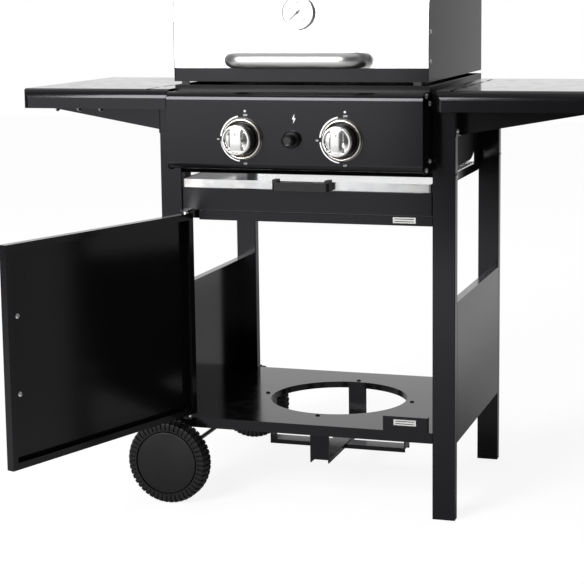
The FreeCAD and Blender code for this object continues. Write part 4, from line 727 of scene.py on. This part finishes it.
# Painted shade: the floor's colour goes from dim in front to pale behind the cart.
painted_light_behind = place.axis(1).rise(0.2, 1.4)
painted_glow_patch = painted_light_behind * place.axis(0).rise(0.42, 0.62) * (1.0 - place.axis(0).rise(1.2, 1.8))
feed(shader, {"Base Color": painted_light_behind.blend((0.55, 0.55, 0.55), (0.9, 0.9, 0.9)),
              "Roughness": 0.85 + 0.1 * place.noise(3.0, 2.0)})
lens = place.ray("Is Camera Ray")
mirror = place.ray("Is Glossy Ray")
glow = place.node("Emission", {}, {"Color": white_light, "Strength": floor_glow})
surface = Wire(place.tree, shader.outputs[0])
# Painted light: to mirrors, the patch behind the right side glows with a share of white light.
mixed = place.node("MixShader", {}, {0: 0.7 * lens + 0.3 * painted_glow_patch * mirror, 1: surface, 2: glow})
pale.node_tree.links.new(mixed.socket, pale.node_tree.nodes["Material Output"].inputs["Surface"])
floor.data.materials.append(pale)


# Studio: a room that is white to the lens. In mirrors it has a bright backdrop ahead that fades upwards, a
# dimmer band at its sides, a grey ceiling and dark walls at the sides and behind the lens.
# Everything else gets an even light of about a third of white.
ahead_x = 0.304
ahead_y = 0.953
even_light = 0.35
world = bpy.data.worlds.new("studio")
bpy.context.scene.world = world
world.use_nodes = True
room = Wire(world.node_tree, world.node_tree.nodes.new("ShaderNodeTexCoord").outputs["Generated"])
lens = room.ray("Is Camera Ray")
mirror = room.ray("Is Glossy Ray") + room.ray("Is Transmission Ray")
across = room.axis(0)
deep = room.axis(1)
up = room.axis(2)
ahead = (ahead_y * deep - ahead_x * across) * (across * across + deep * deep) ** -0.5
backdrop = ahead.rise(0.84, 0.97) * (1.0 - 0.85 * up.rise(-0.05, 0.42))
wide_band = 0.2 * ahead.rise(0.6, 0.85) * up.rise(0.03, 0.2)
ceiling = 0.42 * up.rise(0.55, 0.9)
narrow_band = 0.25 * ahead.rise(0.7, 0.85) * (1.0 - ahead.rise(0.9, 0.97)) * up.rise(0.05, 0.2)
walls = 0.1 + 0.12 * deep.rise(-0.6, 0.2)
mirrored = walls + 1.06 * (backdrop + wide_band + ceiling + narrow_band)
strength = lens + mirror * mirrored + (1.0 - lens - mirror) * even_light
sky = room.node("Background", {}, {"Color": white_light, "Strength": strength})
world.node_tree.links.new(sky.socket, world.node_tree.nodes["World Output"].inputs["Surface"])


# Lamps: three soft boxes in front to the left.
# A large strong one stands high, and two weak flat ones near the floor fill the cabinet's front and its foot.
def soft_box(name, stand, aim, width, height, power):
    """An area lamp at a place that faces its aim."""
    lamp = bpy.data.lights.new(name, "AREA")
    lamp.shape = "RECTANGLE"
    lamp.size = width
    lamp.size_y = height
    lamp.energy = power
    box = bpy.data.objects.new(name, lamp)
    facing = (Vector(aim) - Vector(stand)).to_track_quat("-Z", "Y")
    box.matrix_world = Matrix.Translation(stand) @ facing.to_matrix().to_4x4()
    bpy.context.scene.collection.objects.link(box)


soft_box("key_box", (-1.0, -2.7, 1.72), (0.0, 0.0, 0.7), 1.3, 1.75, 125.0)
soft_box("fill_box", (-1.47, -3.1, 0.62), (0.0, 0.0, 0.6), 1.9, 0.56, 4.9)
soft_box("low_fill_box", (-1.47, -3.1, 0.17), (0.0, 0.0, 0.2), 1.9, 0.34, 1.7)


# Camera: the photograph's viewpoint, in front to the right and a little over the tables.
# Lengths in the picture are in pixels. The lens shift keeps the photograph's framing.
picture_side = 584.0
focal_length = 1656.0
middle_row = 239.5
shift_right = 1.1
sensor_width = 36.0
camera_place = (0.8514, -2.763, 0.9142)
yaw = np.radians(17.7)
pitch = np.radians(8.4)
roll = np.radians(-0.7)
forward = Vector((-np.sin(yaw) * np.cos(pitch), np.cos(yaw) * np.cos(pitch), -np.sin(pitch)))
level = Vector((np.cos(yaw), np.sin(yaw), 0.0))
upright = level.cross(forward)
right = np.cos(roll) * level + np.sin(roll) * upright
upright = np.cos(roll) * upright - np.sin(roll) * level
lens_data = bpy.data.cameras.new("lens")
lens_data.sensor_width = sensor_width
lens_data.lens = sensor_width * focal_length / picture_side
lens_data.shift_x = shift_right / picture_side
lens_data.shift_y = (middle_row - picture_side / 2) / picture_side
camera = bpy.data.objects.new("camera", lens_data)
facing = Matrix((right, upright, -forward)).transposed()
camera.matrix_world = Matrix.Translation(camera_place) @ facing.to_4x4()
bpy.context.scene.collection.objects.link(camera)
bpy.context.scene.camera = camera
bpy.context.scene.view_settings.view_transform = "Standard"
